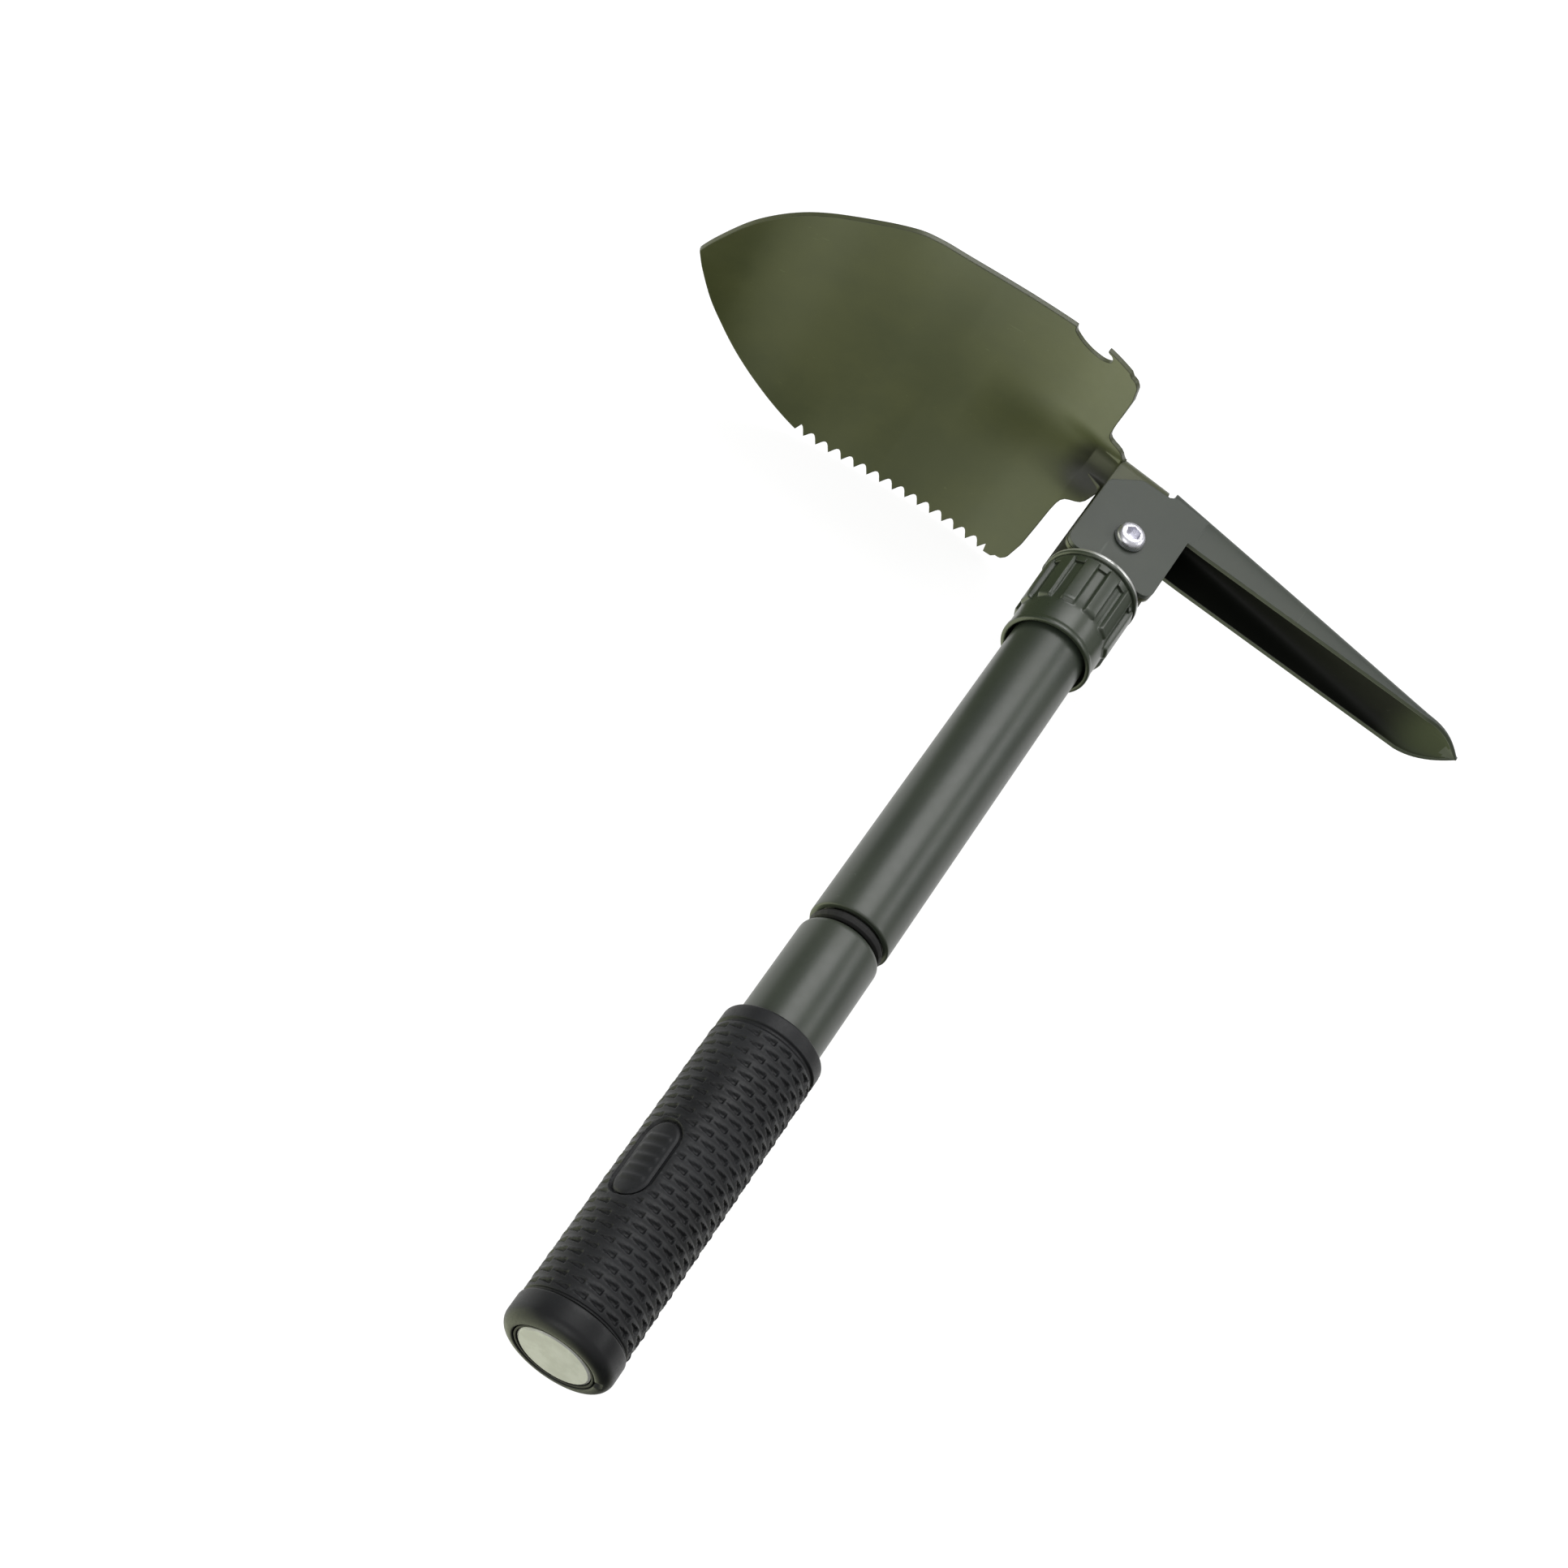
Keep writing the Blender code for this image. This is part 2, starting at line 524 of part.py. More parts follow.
# lower tube: full diameter, drawn in to a neck and a threaded spigot at the top
LT = UPPER_END - 3.6
LT_END = -277.9
lower = [(-143.0, 5.8), (-143.0, 6.9), (-143.6, 7.3), (LT + 3.3, 7.3), (LT + 0.5, 7.3),
         (LT + 0.1, 8.0), (LT - 0.2, 9.4), (LT - 1.0, 10.5), (LT - 2.2, TUBE_R),
         (LT_END, TUBE_R), (LT_END, TUBE_R - TUBE_WALL), (LT - 3.2, TUBE_R - TUBE_WALL),
         (LT - 1.6, 8.2), (LT - 0.9, 5.8)]
turned("lower_tube", lower, PAINT_TUBE, 32, parent=HANDLE)
ring = arc(UPPER_END - 1.75, 8.95, 1.3, 0, 315, 7)
turned("joint_o_ring", [(x, y) for x, y in ring], RUBBER, 28, parent=HANDLE)
# blanking plug, pressed into the lower tube under the neck
turned("tube_plug", [(-180.0, 0), (-180.0, 8.6), (-181.0, 9.1), (-187.0, 9.1), (-187.0, 0)],
       RUBBER, 32, 'X', False, parent=HANDLE)

# -------------------------------------------------------------------- grip
grip_profile = [(GRIP_TOP, TUBE_R + GAP), (GRIP_TOP, 12.4), (GRIP_TOP - 0.5, 13.2),
                (GRIP_TOP - 1.2, 13.5), (GRIP_BAND + 0.9, 13.5), (GRIP_BAND + 0.6, 13.0),
                (GRIP_BAND, 13.0), (GRIP_BAND - 0.3, GRIP_R), (GRIP_END + 0.3, GRIP_R),
                (GRIP_END, 13.2), (GRIP_END, TUBE_R + GAP)]
grip = turned("grip", grip_profile, BLACK, 36, parent=HANDLE)


def badge_grid(name, length, width, r_in, r_out, mat, cutter):
    """A plate of oval outline bent round the grip, between two radii."""
    bm = bmesh.new()
    nx, ny = 12, 5
    top, bot = [], []
    half = (length - width) / 2.0
    for i in range(nx + 1):
        u = -1.0 + 2.0 * i / nx
        x = length / 2.0 * math.sin(u * math.pi / 2.0)
        over = max(abs(x) - half, 0.0)
        w = math.sqrt(max((width / 2.0) ** 2 - over ** 2, 0.05))
        rt, rb = [], []
        for j in range(ny + 1):
            y = w * (-1.0 + 2.0 * j / ny)
            a = math.radians(BADGE_ANGLE) + y / GRIP_R
            rt.append(bm.verts.new((M(BADGE_X + x), M(r_out * math.sin(a)), M(r_out * math.cos(a)))))
            rb.append(bm.verts.new((M(BADGE_X + x), M(r_in * math.sin(a)), M(r_in * math.cos(a)))))
        top.append(rt)
        bot.append(rb)
    for i in range(nx):
        for j in range(ny):
            bm.faces.new((top[i][j], top[i + 1][j], top[i + 1][j + 1], top[i][j + 1]))
            bm.faces.new((bot[i][j], bot[i][j + 1], bot[i + 1][j + 1], bot[i + 1][j]))
        for j in (0, ny):
            bm.faces.new((top[i][j], top[i + 1][j], bot[i + 1][j], bot[i][j]))
    for i in (0, nx):
        for j in range(ny):
            bm.faces.new((top[i][j], top[i][j + 1], bot[i][j + 1], bot[i][j]))
    return finish(bm, name, mat, HANDLE, 30.0, cutter)


pocket = badge_grid("badge_pocket", BADGE_L, BADGE_W, 12.3, 16.0, None, True)
boolean(grip, pocket)
badge_grid("grip_badge", BADGE_L - 0.8, BADGE_W - 0.8, 12.6, 13.25, BLACK, False)

# ---------------------------------------------------- end collar and compass
collar_profile = [(GRIP_END - GAP, 10.0), (GRIP_END - GAP, COLLAR_R - 0.4),
                  (GRIP_END - GAP - 0.4, COLLAR_R)]
collar_profile += [(BUTT + 3.0 - 3.0 * math.sin(math.radians(a)),
                    COLLAR_R - 3.0 + 3.0 * math.cos(math.radians(a))) for a in (0, 22, 45, 68, 90)]
collar_profile += [(BUTT, 10.6), (BUTT + 0.25, 10.4), (-280.6, 10.4), (-280.6, 8.0),
                   (-268.0, 8.0), (-268.0, 9.1), (-277.6, 9.1), (GRIP_END, 9.1)]
collar_profile = [(GRIP_END - GAP, 9.1)] + collar_profile[1:-1]
turned("end_collar", collar_profile, BLACK, 36, parent=HANDLE)
turned("compass_housing", [(-280.9, 0.0), (-280.9, 10.1), (-285.8, 10.1), (-285.8, 9.6),
                           (-281.6, 9.6), (-281.6, 0.0)], RUBBER, 40, 'X', False, parent=HANDLE)
turned("compass_dial", [(-281.9, 1.0), (-281.9, 9.2), (-282.4, 9.2), (-282.4, 1.0)], DIAL, 40,
       parent=HANDLE)
turned("compass_pivot", [(-281.9, 0.0), (-281.9, 0.7), (-282.7, 0.7), (-283.4, 0.15),
                         (-283.4, 0.0)], BRASS, 12, 'X', False, parent=HANDLE)
needle_pts = [(0.0, -7.6), (1.25, -1.2), (1.25, 1.2), (0.0, 7.6), (-1.25, 1.2), (-1.25, -1.2)]
prism("compass_needle", needle_pts, -284.1, -283.7, 'X', NEEDLE, HANDLE)
turned("compass_lens", [(-284.6, 0.0), (-284.6, 9.3), (-285.5, 9.3), (-285.9, 8.8),
                        (-285.95, 0.0)], LENS, 40, 'X', False, parent=HANDLE)
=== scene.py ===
"""Looks for the folding camp shovel: finer painted-steel pieces, a studded grip and
procedural materials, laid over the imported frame.

Design coordinates used below are millimetres from the pivot: +X towards the head,
+Y the blade's side, Z along the pivot bolt.  P() turns them into the frame's metres.
"""
import bpy
import bmesh
import math
from mathutils import Matrix, Vector


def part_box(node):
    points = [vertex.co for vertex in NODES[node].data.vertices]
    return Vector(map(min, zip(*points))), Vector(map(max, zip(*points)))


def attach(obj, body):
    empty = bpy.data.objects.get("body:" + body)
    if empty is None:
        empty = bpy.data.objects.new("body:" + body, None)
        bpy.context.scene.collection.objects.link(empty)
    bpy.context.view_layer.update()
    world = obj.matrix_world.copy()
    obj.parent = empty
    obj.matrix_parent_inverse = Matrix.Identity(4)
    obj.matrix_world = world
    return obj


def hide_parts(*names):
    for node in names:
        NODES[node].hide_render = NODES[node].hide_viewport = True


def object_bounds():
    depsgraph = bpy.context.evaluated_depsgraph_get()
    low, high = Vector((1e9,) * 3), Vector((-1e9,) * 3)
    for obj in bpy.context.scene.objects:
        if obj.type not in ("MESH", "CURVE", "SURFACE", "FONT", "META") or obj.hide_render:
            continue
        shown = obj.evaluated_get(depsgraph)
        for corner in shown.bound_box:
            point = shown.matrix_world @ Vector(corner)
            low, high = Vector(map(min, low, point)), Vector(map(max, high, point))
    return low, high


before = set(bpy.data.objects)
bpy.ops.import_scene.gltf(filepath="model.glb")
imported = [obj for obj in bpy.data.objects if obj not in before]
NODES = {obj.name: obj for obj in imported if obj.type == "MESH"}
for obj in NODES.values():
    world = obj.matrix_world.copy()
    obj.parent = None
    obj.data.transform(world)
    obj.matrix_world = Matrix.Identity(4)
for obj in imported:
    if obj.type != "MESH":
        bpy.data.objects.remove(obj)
cad_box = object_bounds()

lo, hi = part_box("pivot_bolt")
px, py = (lo[0] + hi[0]) / 2.0, (lo[1] + hi[1]) / 2.0
lo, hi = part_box("upper_tube")
ORIGIN = Vector((px, py, (lo[2] + hi[2]) / 2.0))
COL = bpy.context.scene.collection


def P(x, y, z):
    return ORIGIN + Vector((x, y, z)) * 0.001


# ------------------------------------------------------------------ dimensions
TUBE_R, TUBE_WALL, GAP = 11.0, 1.6, 0.3
UPPER_END, TUBE_TOP = -155.5, -39.8
SHEET = 1.4
CHEEK, CHEEK_CORNER = 14.2, 3.4
PICK_HALF, BLADE_HALF = 9.0, 7.3
PICK_WEB_X, BLADE_WEB_X = 27.8, 29.0
PICK_WEB_Y, BLADE_WEB_Y = -4.3, -1.9
NECK_Y, TIP_Y, NOSE_Y = 22.0, 144.6, 82.0
NOSE = ((82.0, 46.8), (88.0, 46.8), (94.0, 46.1), (100.0, 43.9), (106.0, 41.0), (112.0, 37.7),
        (118.0, 34.0), (124.0, 29.5), (130.0, 23.7), (136.0, 16.3), (142.0, 5.8), (144.6, 0.0))
BLADE_W, SHOULDER_W = 46.8, 44.0
EDGE_X = ((22.0, 13.0), (40.0, 14.0), (58.0, 12.6), (82.0, 8.9),
          (106.0, 5.1), (130.0, 2.0), (144.6, -2.6))
DISH = ((22.0, 10.0), (50.0, 7.6), (90.0, 5.6), (125.0, 2.6), (144.6, 0.0))
TEETH, TOOTH_FIRST, TOOTH_PITCH, TOOTH_DEPTH = 15, 32.4, 4.38, 2.8
PICK_TIP_Y, PICK_TIP_X = -113.3, 18.4
PICK_EDGE_ROOT, PICK_EDGE_END, PICK_RUNOUT_Y = 12.6, 14.8, -98.0
BOLT_R, HEAD_R, HEAD_H = 3.0, 4.5, 2.7
NUT_TOP, NUT_BOTTOM = -15.5, -45.3
NUT_CB_R, NUT_CB_FLOOR, NUT_THREAD_R, NUT_THREAD_END, NUT_SKIRT_R = 13.5, -19.9, 10.6, -30.0, 12.0
GRIP_TOP, GRIP_BAND, GRIP_END = -192.5, -197.6, -278.2
BUTT, COLLAR_R = -286.0, 13.9
BADGE_X, BADGE_ANGLE, BADGE_L, BADGE_W = -240.0, 45.0, 22.0, 10.6


# --------------------------------------------------------------- node materials
class Nodes:
    """Small helper that adds nodes and wires them."""

    def __init__(self, name):
        self.mat = bpy.data.materials.new(name)
        self.mat.use_nodes = True
        self.t = self.mat.node_tree
        self.b = self.t.nodes["Principled BSDF"]
        self.co = self.new("ShaderNodeTexCoord").outputs["Object"]

    def new(self, kind, **props):
        n = self.t.nodes.new(kind)
        for k, v in props.items():
            setattr(n, k, v)
        return n

    def link(self, a, b):
        self.t.links.new(a, b)
        return b

    def put(self, sock, v):
        if hasattr(v, "is_linked") or isinstance(v, bpy.types.NodeSocket):
            self.t.links.new(v, sock)
        else:
            sock.default_value = v

    def stretch(self, scale):
        m = self.new("ShaderNodeMapping")
        m.inputs["Scale"].default_value = scale
        self.link(self.co, m.inputs["Vector"])
        return m.outputs["Vector"]

    def noise(self, scale, detail=3.0, rough=0.55, vec=None, distort=0.0):
        n = self.new("ShaderNodeTexNoise")
        n.inputs["Scale"].default_value = scale
        n.inputs["Detail"].default_value = detail
        n.inputs["Roughness"].default_value = rough
        n.inputs["Distortion"].default_value = distort
        self.link(vec or self.co, n.inputs["Vector"])
        return n.outputs["Fac"]

    def voronoi(self, scale, feature='DISTANCE_TO_EDGE', vec=None):
        n = self.new("ShaderNodeTexVoronoi", feature=feature)
        n.inputs["Scale"].default_value = scale
        self.link(vec or self.co, n.inputs["Vector"])
        return n.outputs["Distance"]

    def ramp(self, fac, a, b, lo=0.0, hi=1.0):
        n = self.new("ShaderNodeMapRange", interpolation_type='SMOOTHSTEP')
        self.put(n.inputs["Value"], fac)
        n.inputs["From Min"].default_value = a
        n.inputs["From Max"].default_value = b
        n.inputs["To Min"].default_value = lo
        n.inputs["To Max"].default_value = hi
        return n.outputs["Result"]

    def math(self, op, a, b=0.0, c=0.0):
        n = self.new("ShaderNodeMath", operation=op)
        self.put(n.inputs[0], a)
        self.put(n.inputs[1], b)
        if len(n.inputs) > 2:
            self.put(n.inputs[2], c)
        return n.outputs[0]

    def mix(self, fac, a, b, mode='MIX'):
        n = self.new("ShaderNodeMix", data_type='RGBA', blend_type=mode)
        self.put(n.inputs[0], fac)
        self.put(n.inputs[6], (*a, 1.0) if isinstance(a, tuple) else a)
        self.put(n.inputs[7], (*b, 1.0) if isinstance(b, tuple) else b)
        return n.outputs[2]

    def edges(self, radius=0.0005):
        """0 on flat surface, rising on worn outer and inner edges."""
        bev = self.new("ShaderNodeBevel", samples=6)
        bev.inputs["Radius"].default_value = radius
        geo = self.new("ShaderNodeNewGeometry")
        dot = self.new("ShaderNodeVectorMath", operation='DOT_PRODUCT')
        self.link(bev.outputs["Normal"], dot.inputs[0])
        self.link(geo.outputs["Normal"], dot.inputs[1])
        return self.ramp(dot.outputs["Value"], 0.995, 0.90), bev.outputs["Normal"]

    def bump(self, height, strength, distance, normal=None):
        n = self.new("ShaderNodeBump")
        n.inputs["Strength"].default_value = strength
        n.inputs["Distance"].default_value = distance
        self.put(n.inputs["Height"], height)
        if normal is not None:
            self.link(normal, n.inputs["Normal"])
        return n.outputs["Normal"]

    def out(self, color, rough, normal=None, **sockets):
        self.put(self.b.inputs["Base Color"], (*color, 1.0) if isinstance(color, tuple) else color)
        self.put(self.b.inputs["Roughness"], rough)
        if normal is not None:
            self.link(normal, self.b.inputs["Normal"])
        for k, v in sockets.items():
            self.b.inputs[k.replace("_", " ")].default_value = v
        return self.mat


def paint(name, base, rough, warm=1.12, bevel=0.00045, chip=0.25, spec=0.5,
          worn_tone=(0.30, 0.32, 0.28)):
    """Baked-on satin enamel over pressed steel: cloudy colour, orange peel, fine hairline
    scuffs, and a thin rubbed line where the paint is drawn off the edges."""
    n = Nodes(name)
    cloud = n.noise(28.0, 4.0, 0.6)
    fine = n.noise(420.0, 3.0, 0.6)
    dark = tuple(c * 0.86 for c in base)
    light = (base[0] * warm, base[1] * (1 + (warm - 1) * 0.6), base[2] * 0.98)
    col = n.mix(n.ramp(cloud, 0.32, 0.68), dark, light)
    col = n.mix(n.ramp(fine, 0.62, 0.80, 0.0, 0.10), col, tuple(c * 1.4 for c in base))
    # dust-like pinholes in the enamel
    pin = n.ramp(n.noise(2600.0, 1.0, 0.5), 0.72, 0.78, 0.0, 0.03)
    col = n.mix(pin, col, tuple(c * 0.55 for c in base))
    # hairline scuffs along two directions
    s1 = n.ramp(n.noise(1.0, 2.0, 0.5, n.stretch((30.0, 900.0, 700.0))), 0.70, 0.745)
    s2 = n.ramp(n.noise(1.0, 2.0, 0.5, n.stretch((800.0, 36.0, 650.0))), 0.71, 0.75)
    patch = n.ramp(n.noise(55.0, 2.0, 0.5), 0.50, 0.66)
    scuff = n.math('MULTIPLY', n.math('MAXIMUM', s1, s2), patch)
    col = n.mix(n.math('MULTIPLY', scuff, 0.22), col, tuple(min(c * 2.4 + 0.02, 1) for c in base))
    edge, soft = n.edges(bevel)
    worn = n.math('MULTIPLY', edge, n.ramp(n.noise(190.0, 4.0, 0.65), 0.42, 0.62, 0.35, 1.0))
    col = n.mix(n.math('MULTIPLY', worn, chip), col, worn_tone)
    r = n.math('ADD', n.ramp(cloud, 0.3, 0.7, rough - 0.02, rough + 0.02),
               n.ramp(fine, 0.3, 0.7, -0.015, 0.015))
    r = n.math('SUBTRACT', r, n.math('MULTIPLY', scuff, 0.08))
    peel = n.math('ADD', n.math('MULTIPLY', n.noise(900.0, 2.0, 0.5), 0.7),
                  n.math('MULTIPLY', n.noise(210.0, 2.0, 0.5), 0.9))
    h = n.math('SUBTRACT', peel, n.math('MULTIPLY', scuff, 0.5))
    nor = n.bump(h, 0.12, 0.00004, soft)
    n.out(col, r, nor)
    n.b.inputs["Specular IOR Level"].default_value = spec
    return n


def metal(name, base, rough, stretch=(300.0, 300.0, 40.0), tint=(0.5, 0.5, 0.5)):
    """Plated or bare metal with tool marks and slight staining."""
    n = Nodes(name)
    cloud = n.noise(160.0, 4.0, 0.6)
    lines = n.noise(1.0, 3.0, 0.6, n.stretch(tuple(s * 6 for s in stretch)))
    col = n.mix(n.ramp(cloud, 0.35, 0.7, 0.0, 0.35), base, tint)
    col = n.mix(n.ramp(lines, 0.55, 0.75, 0.0, 0.25), col, tuple(c * 0.6 for c in base))
    edge, soft = n.edges(0.00025)
    col = n.mix(n.math('MULTIPLY', edge, 0.5), col, tuple(min(c * 1.15, 1.0) for c in base))
    r = n.ramp(lines, 0.25, 0.75, rough - 0.07, rough + 0.09)
    nor = n.bump(lines, 0.25, 0.00003, soft)
    n.out(col, r, nor)
    n.b.inputs["Metallic"].default_value = 1.0
    return n.mat


def moulded(name, base, rough, grain=1900.0, depth=0.00005, grey=1.8, spec=0.4, bevel=0.0003):
    """Moulded plastic or rubber: fine leathery grain, paler rubbed edges, dusty patches."""
    n = Nodes(name)
    cloud = n.noise(45.0, 4.0, 0.6)
    fine = n.noise(grain, 3.0, 0.6)
    col = n.mix(n.ramp(cloud, 0.35, 0.7), base, tuple(c * grey for c in base))
    dust = n.ramp(n.noise(700.0, 3.0, 0.7), 0.58, 0.78, 0.0, 0.30)
    col = n.mix(dust, col, tuple(min(c * 2.6 + 0.004, 1.0) for c in base))
    edge, soft = n.edges(bevel)
    col = n.mix(n.math('MULTIPLY', edge, 0.35), col, tuple(min(c * 3.0 + 0.006, 1.0) for c in base))
    r = n.math('ADD', n.ramp(cloud, 0.3, 0.7, rough - 0.06, rough + 0.06),
               n.ramp(fine, 0.3, 0.7, -0.05, 0.05))
    h = n.math('ADD', fine, n.math('MULTIPLY', n.noise(grain * 0.35, 2.0, 0.5), 0.8))
    nor = n.bump(h, 0.4, depth, soft)
    n.out(col, r, nor)
    n.b.inputs["Specular IOR Level"].default_value = spec
    return n.mat


# painted shade: the blade's enamel is darkened around the root of its trough, near the neck, to stand in
# for the shade in that hollow
n = paint("blade_enamel", (0.060, 0.069, 0.028), 0.37, warm=1.10, spec=0.62, chip=0.9,
          worn_tone=(0.020, 0.026, 0.018))
sep = n.new("ShaderNodeSeparateXYZ")
n.link(n.co, sep.inputs[0])
dy = n.math('SUBTRACT', sep.outputs["Y"], ORIGIN.y + 0.0195)
dz = n.math('SUBTRACT', sep.outputs["Z"], ORIGIN.z - 0.003)
far = n.math('SQRT', n.math('ADD', n.math('MULTIPLY', n.math('MULTIPLY', dy, dy), 1.5),
                            n.math('MULTIPLY', dz, dz)))
painted_shade = n.math('MULTIPLY', n.ramp(far, 0.0135, 0.0045, 0.0, 0.9),
              n.ramp(n.noise(120.0, 3.0, 0.6), 0.2, 0.5, 0.8, 1.0))
old = n.b.inputs["Base Color"].links[0].from_socket
# mix the enamel towards near-black by the painted-shade mask, broken up a little by noise
n.put(n.b.inputs["Base Color"], n.mix(painted_shade, old, (0.010, 0.011, 0.006)))
PAINT_BLADE = n.mat
PAINT_HEAD = paint("head_enamel", (0.050, 0.060, 0.048), 0.42, warm=1.04, spec=0.55).mat
PAINT_TUBE = paint("tube_enamel", (0.040, 0.050, 0.037), 0.35, warm=1.04, chip=0.3, spec=0.62).mat

# painted shade: the inside of the pick's channel is painted near-black to stand in for the shade within it,
# and turns to enamel at the spout
n = paint("channel_painted_shade", (0.0075, 0.0085, 0.0065), 0.55, warm=1.04, spec=0.2, chip=0.1)
sep = n.new("ShaderNodeSeparateXYZ")
n.link(n.co, sep.inputs[0])
old = n.b.inputs["Base Color"].links[0].from_socket
mouth = n.ramp(sep.outputs["Y"], ORIGIN.y - 0.088, ORIGIN.y - 0.103)
n.put(n.b.inputs["Base Color"], n.mix(mouth, old, (0.050, 0.060, 0.034)))
SHADED_CHANNEL_PAINT = n.mat

# the nut's leading rim is rubbed bright where it runs against the cheeks
n = paint("nut_enamel", (0.034, 0.046, 0.028), 0.30, warm=1.06, chip=0.30, spec=0.75)
sep = n.new("ShaderNodeSeparateXYZ")
n.link(n.co, sep.inputs[0])
rub = n.ramp(sep.outputs["X"], ORIGIN.x - 0.01665, ORIGIN.x - 0.01640)
rub = n.math('MULTIPLY', rub, n.ramp(n.noise(260.0, 3.0, 0.6), 0.28, 0.48, 0.35, 1.0))
old = n.b.inputs["Base Color"].links[0].from_socket
n.put(n.b.inputs["Base Color"], n.mix(rub, old, (0.86, 0.87, 0.85)))
n.put(n.b.inputs["Metallic"], n.math('MULTIPLY', rub, 0.9))
PAINT_NUT = n.mat
ZINC = metal("bright_zinc", (0.80, 0.80, 0.86), 0.30, tint=(0.62, 0.60, 0.72))
STEEL = metal("turned_steel", (0.46, 0.47, 0.46), 0.38, stretch=(900.0, 60.0, 60.0),
              tint=(0.30, 0.31, 0.28))
BRASS = metal("turned_brass", (0.62, 0.45, 0.20), 0.36, tint=(0.45, 0.30, 0.12))
BLACK = moulded("grip_plastic", (0.0095, 0.0100, 0.0112), 0.46, spec=0.32)
BLACK_SMOOTH = moulded("collar_plastic", (0.0095, 0.0100, 0.0112), 0.42, depth=0.00002, spec=0.30)
RUBBER = moulded("black_rubber", (0.010, 0.010, 0.010), 0.62)
NYLON = moulded("natural_nylon", (0.46, 0.45, 0.40), 0.50, grey=1.1)
NEEDLE = moulded("needle_lacquer", (0.32, 0.02, 0.015), 0.35, grey=1.2)

# pale compass card: brushed silver paper with a faint printed ring and worn speckle
n = Nodes("compass_card")
sep = n.new("ShaderNodeSeparateXYZ")
n.link(n.co, sep.inputs[0])
dy = n.math('SUBTRACT', sep.outputs["Y"], ORIGIN.y)
dz = n.math('SUBTRACT', sep.outputs["Z"], ORIGIN.z)
rad = n.math('SQRT', n.math('ADD', n.math('MULTIPLY', dy, dy), n.math('MULTIPLY', dz, dz)))
ang = n.math('ARCTAN2', dy, dz)
ring = n.math('MULTIPLY', n.ramp(rad, 0.0074, 0.0075), n.ramp(rad, 0.0088, 0.0087))
tick = n.ramp(n.math('SINE', n.math('MULTIPLY', ang, 24.0)), 0.86, 0.93)
card = n.mix(n.ramp(n.noise(240.0, 4.0, 0.6), 0.35, 0.7), (0.55, 0.56, 0.54), (0.68, 0.69, 0.69))
card = n.mix(n.math('MULTIPLY', n.math('MULTIPLY', ring, tick), 0.55), card, (0.20, 0.20, 0.17))
DIAL = n.out(card, n.ramp(n.noise(900.0, 2.0), 0.3, 0.7, 0.35, 0.55),
             n.bump(n.noise(1500.0, 2.0), 0.2, 0.00002))

# domed window: slightly frosted, silvery, with hairline scratches
n = Nodes("compass_window")
scr = n.ramp(n.noise(1.0, 2.0, 0.5, n.stretch((300.0, 900.0, 60.0))), 0.66, 0.72)
blot = n.noise(190.0, 4.0, 0.6)
n.out(n.mix(n.ramp(blot, 0.38, 0.66), (0.53, 0.53, 0.55), (0.65, 0.65, 0.68)),
      n.math('ADD', n.ramp(blot, 0.35, 0.65, 0.10, 0.22), n.math('MULTIPLY', scr, 0.03)),
      n.bump(n.math('ADD', n.math('MULTIPLY', scr, -0.1), blot), 0.15, 0.00005))
n.b.inputs["Transmission Weight"].default_value = 0.35
n.b.inputs["IOR"].default_value = 1.49
LENS = n.mat

for names, mat in ((("pivot_bush", "compass_pivot"), BRASS),
                   (("pivot_washer_top", "pivot_washer_bottom", "thrust_washer"), NYLON),
                   (("head_fitting", "fitting_pin", "stop_ring", "thread_insert"), STEEL),
                   (("bolt_washer", "pivot_nut", "pivot_bolt"), ZINC),
                   (("joint_o_ring", "tube_plug", "compass_housing"), RUBBER),
                   (("compass_dial",), DIAL), (("compass_lens",), LENS),
                   (("compass_needle",), NEEDLE), (("blade",), PAINT_BLADE),
                   (("pick",), PAINT_HEAD), (("lock_nut",), PAINT_NUT),
                   (("upper_tube", "lower_tube"), PAINT_TUBE),
                   (("grip", "grip_badge", "end_collar"), BLACK)):
    for name in names:
        for s in NODES[name].material_slots:
            s.material = mat


# ------------------------------------------------------------------ mesh helpers
def mesh_object(name, verts, faces, mat=None, sharp=35.0):
    me = bpy.data.meshes.new(name)
    me.from_pydata([tuple(v) for v in verts], [], faces)
    bm = bmesh.new()
    bm.from_mesh(me)
    bmesh.ops.remove_doubles(bm, verts=bm.verts, dist=1e-7)
    bmesh.ops.recalc_face_normals(bm, faces=bm.faces)
    bm.to_mesh(me)
    bm.free()
    me.shade_smooth()
    me.set_sharp_from_angle(angle=math.radians(sharp))
    if mat:
        me.materials.append(mat)
    ob = bpy.data.objects.new(name, me)
    COL.objects.link(ob)
    return ob


def ring_skin(name, rings, mat, wrap=False, sharp=35.0, cap=False):
    """Skin equal closed rings of design points; wrap joins the last ring to the first,
    cap closes both ends."""
    n = len(rings[0])
    verts = [P(*p) for r in rings for p in r]
    faces = []
    last = len(rings) if wrap else len(rings) - 1
    for a in range(last):
        b = (a + 1) % len(rings)
        for j in range(n):
            k = (j + 1) % n
            faces.append((a * n + j, a * n + k, b * n + k, b * n + j))
    if cap:
        faces.append(tuple(range(n)))
        faces.append(tuple((len(rings) - 1) * n + j for j in range(n)))
    return mesh_object(name, verts, faces, mat, sharp)


def circle(x, r, n):
    return [(x, r * math.sin(2 * math.pi * j / n), r * math.cos(2 * math.pi * j / n))
            for j in range(n)]


def lathe(name, profile, mat, n=128, wrap=True, sharp=35.0, cap=False):
    return ring_skin(name, [circle(x, r, n) for x, r in profile], mat, wrap, sharp, cap)


def arc(cx, cy, r, a0, a1, n):
    return [(cx + r * math.cos(math.radians(a0 + (a1 - a0) * i / n)),
             cy + r * math.sin(math.radians(a0 + (a1 - a0) * i / n))) for i in range(n + 1)]


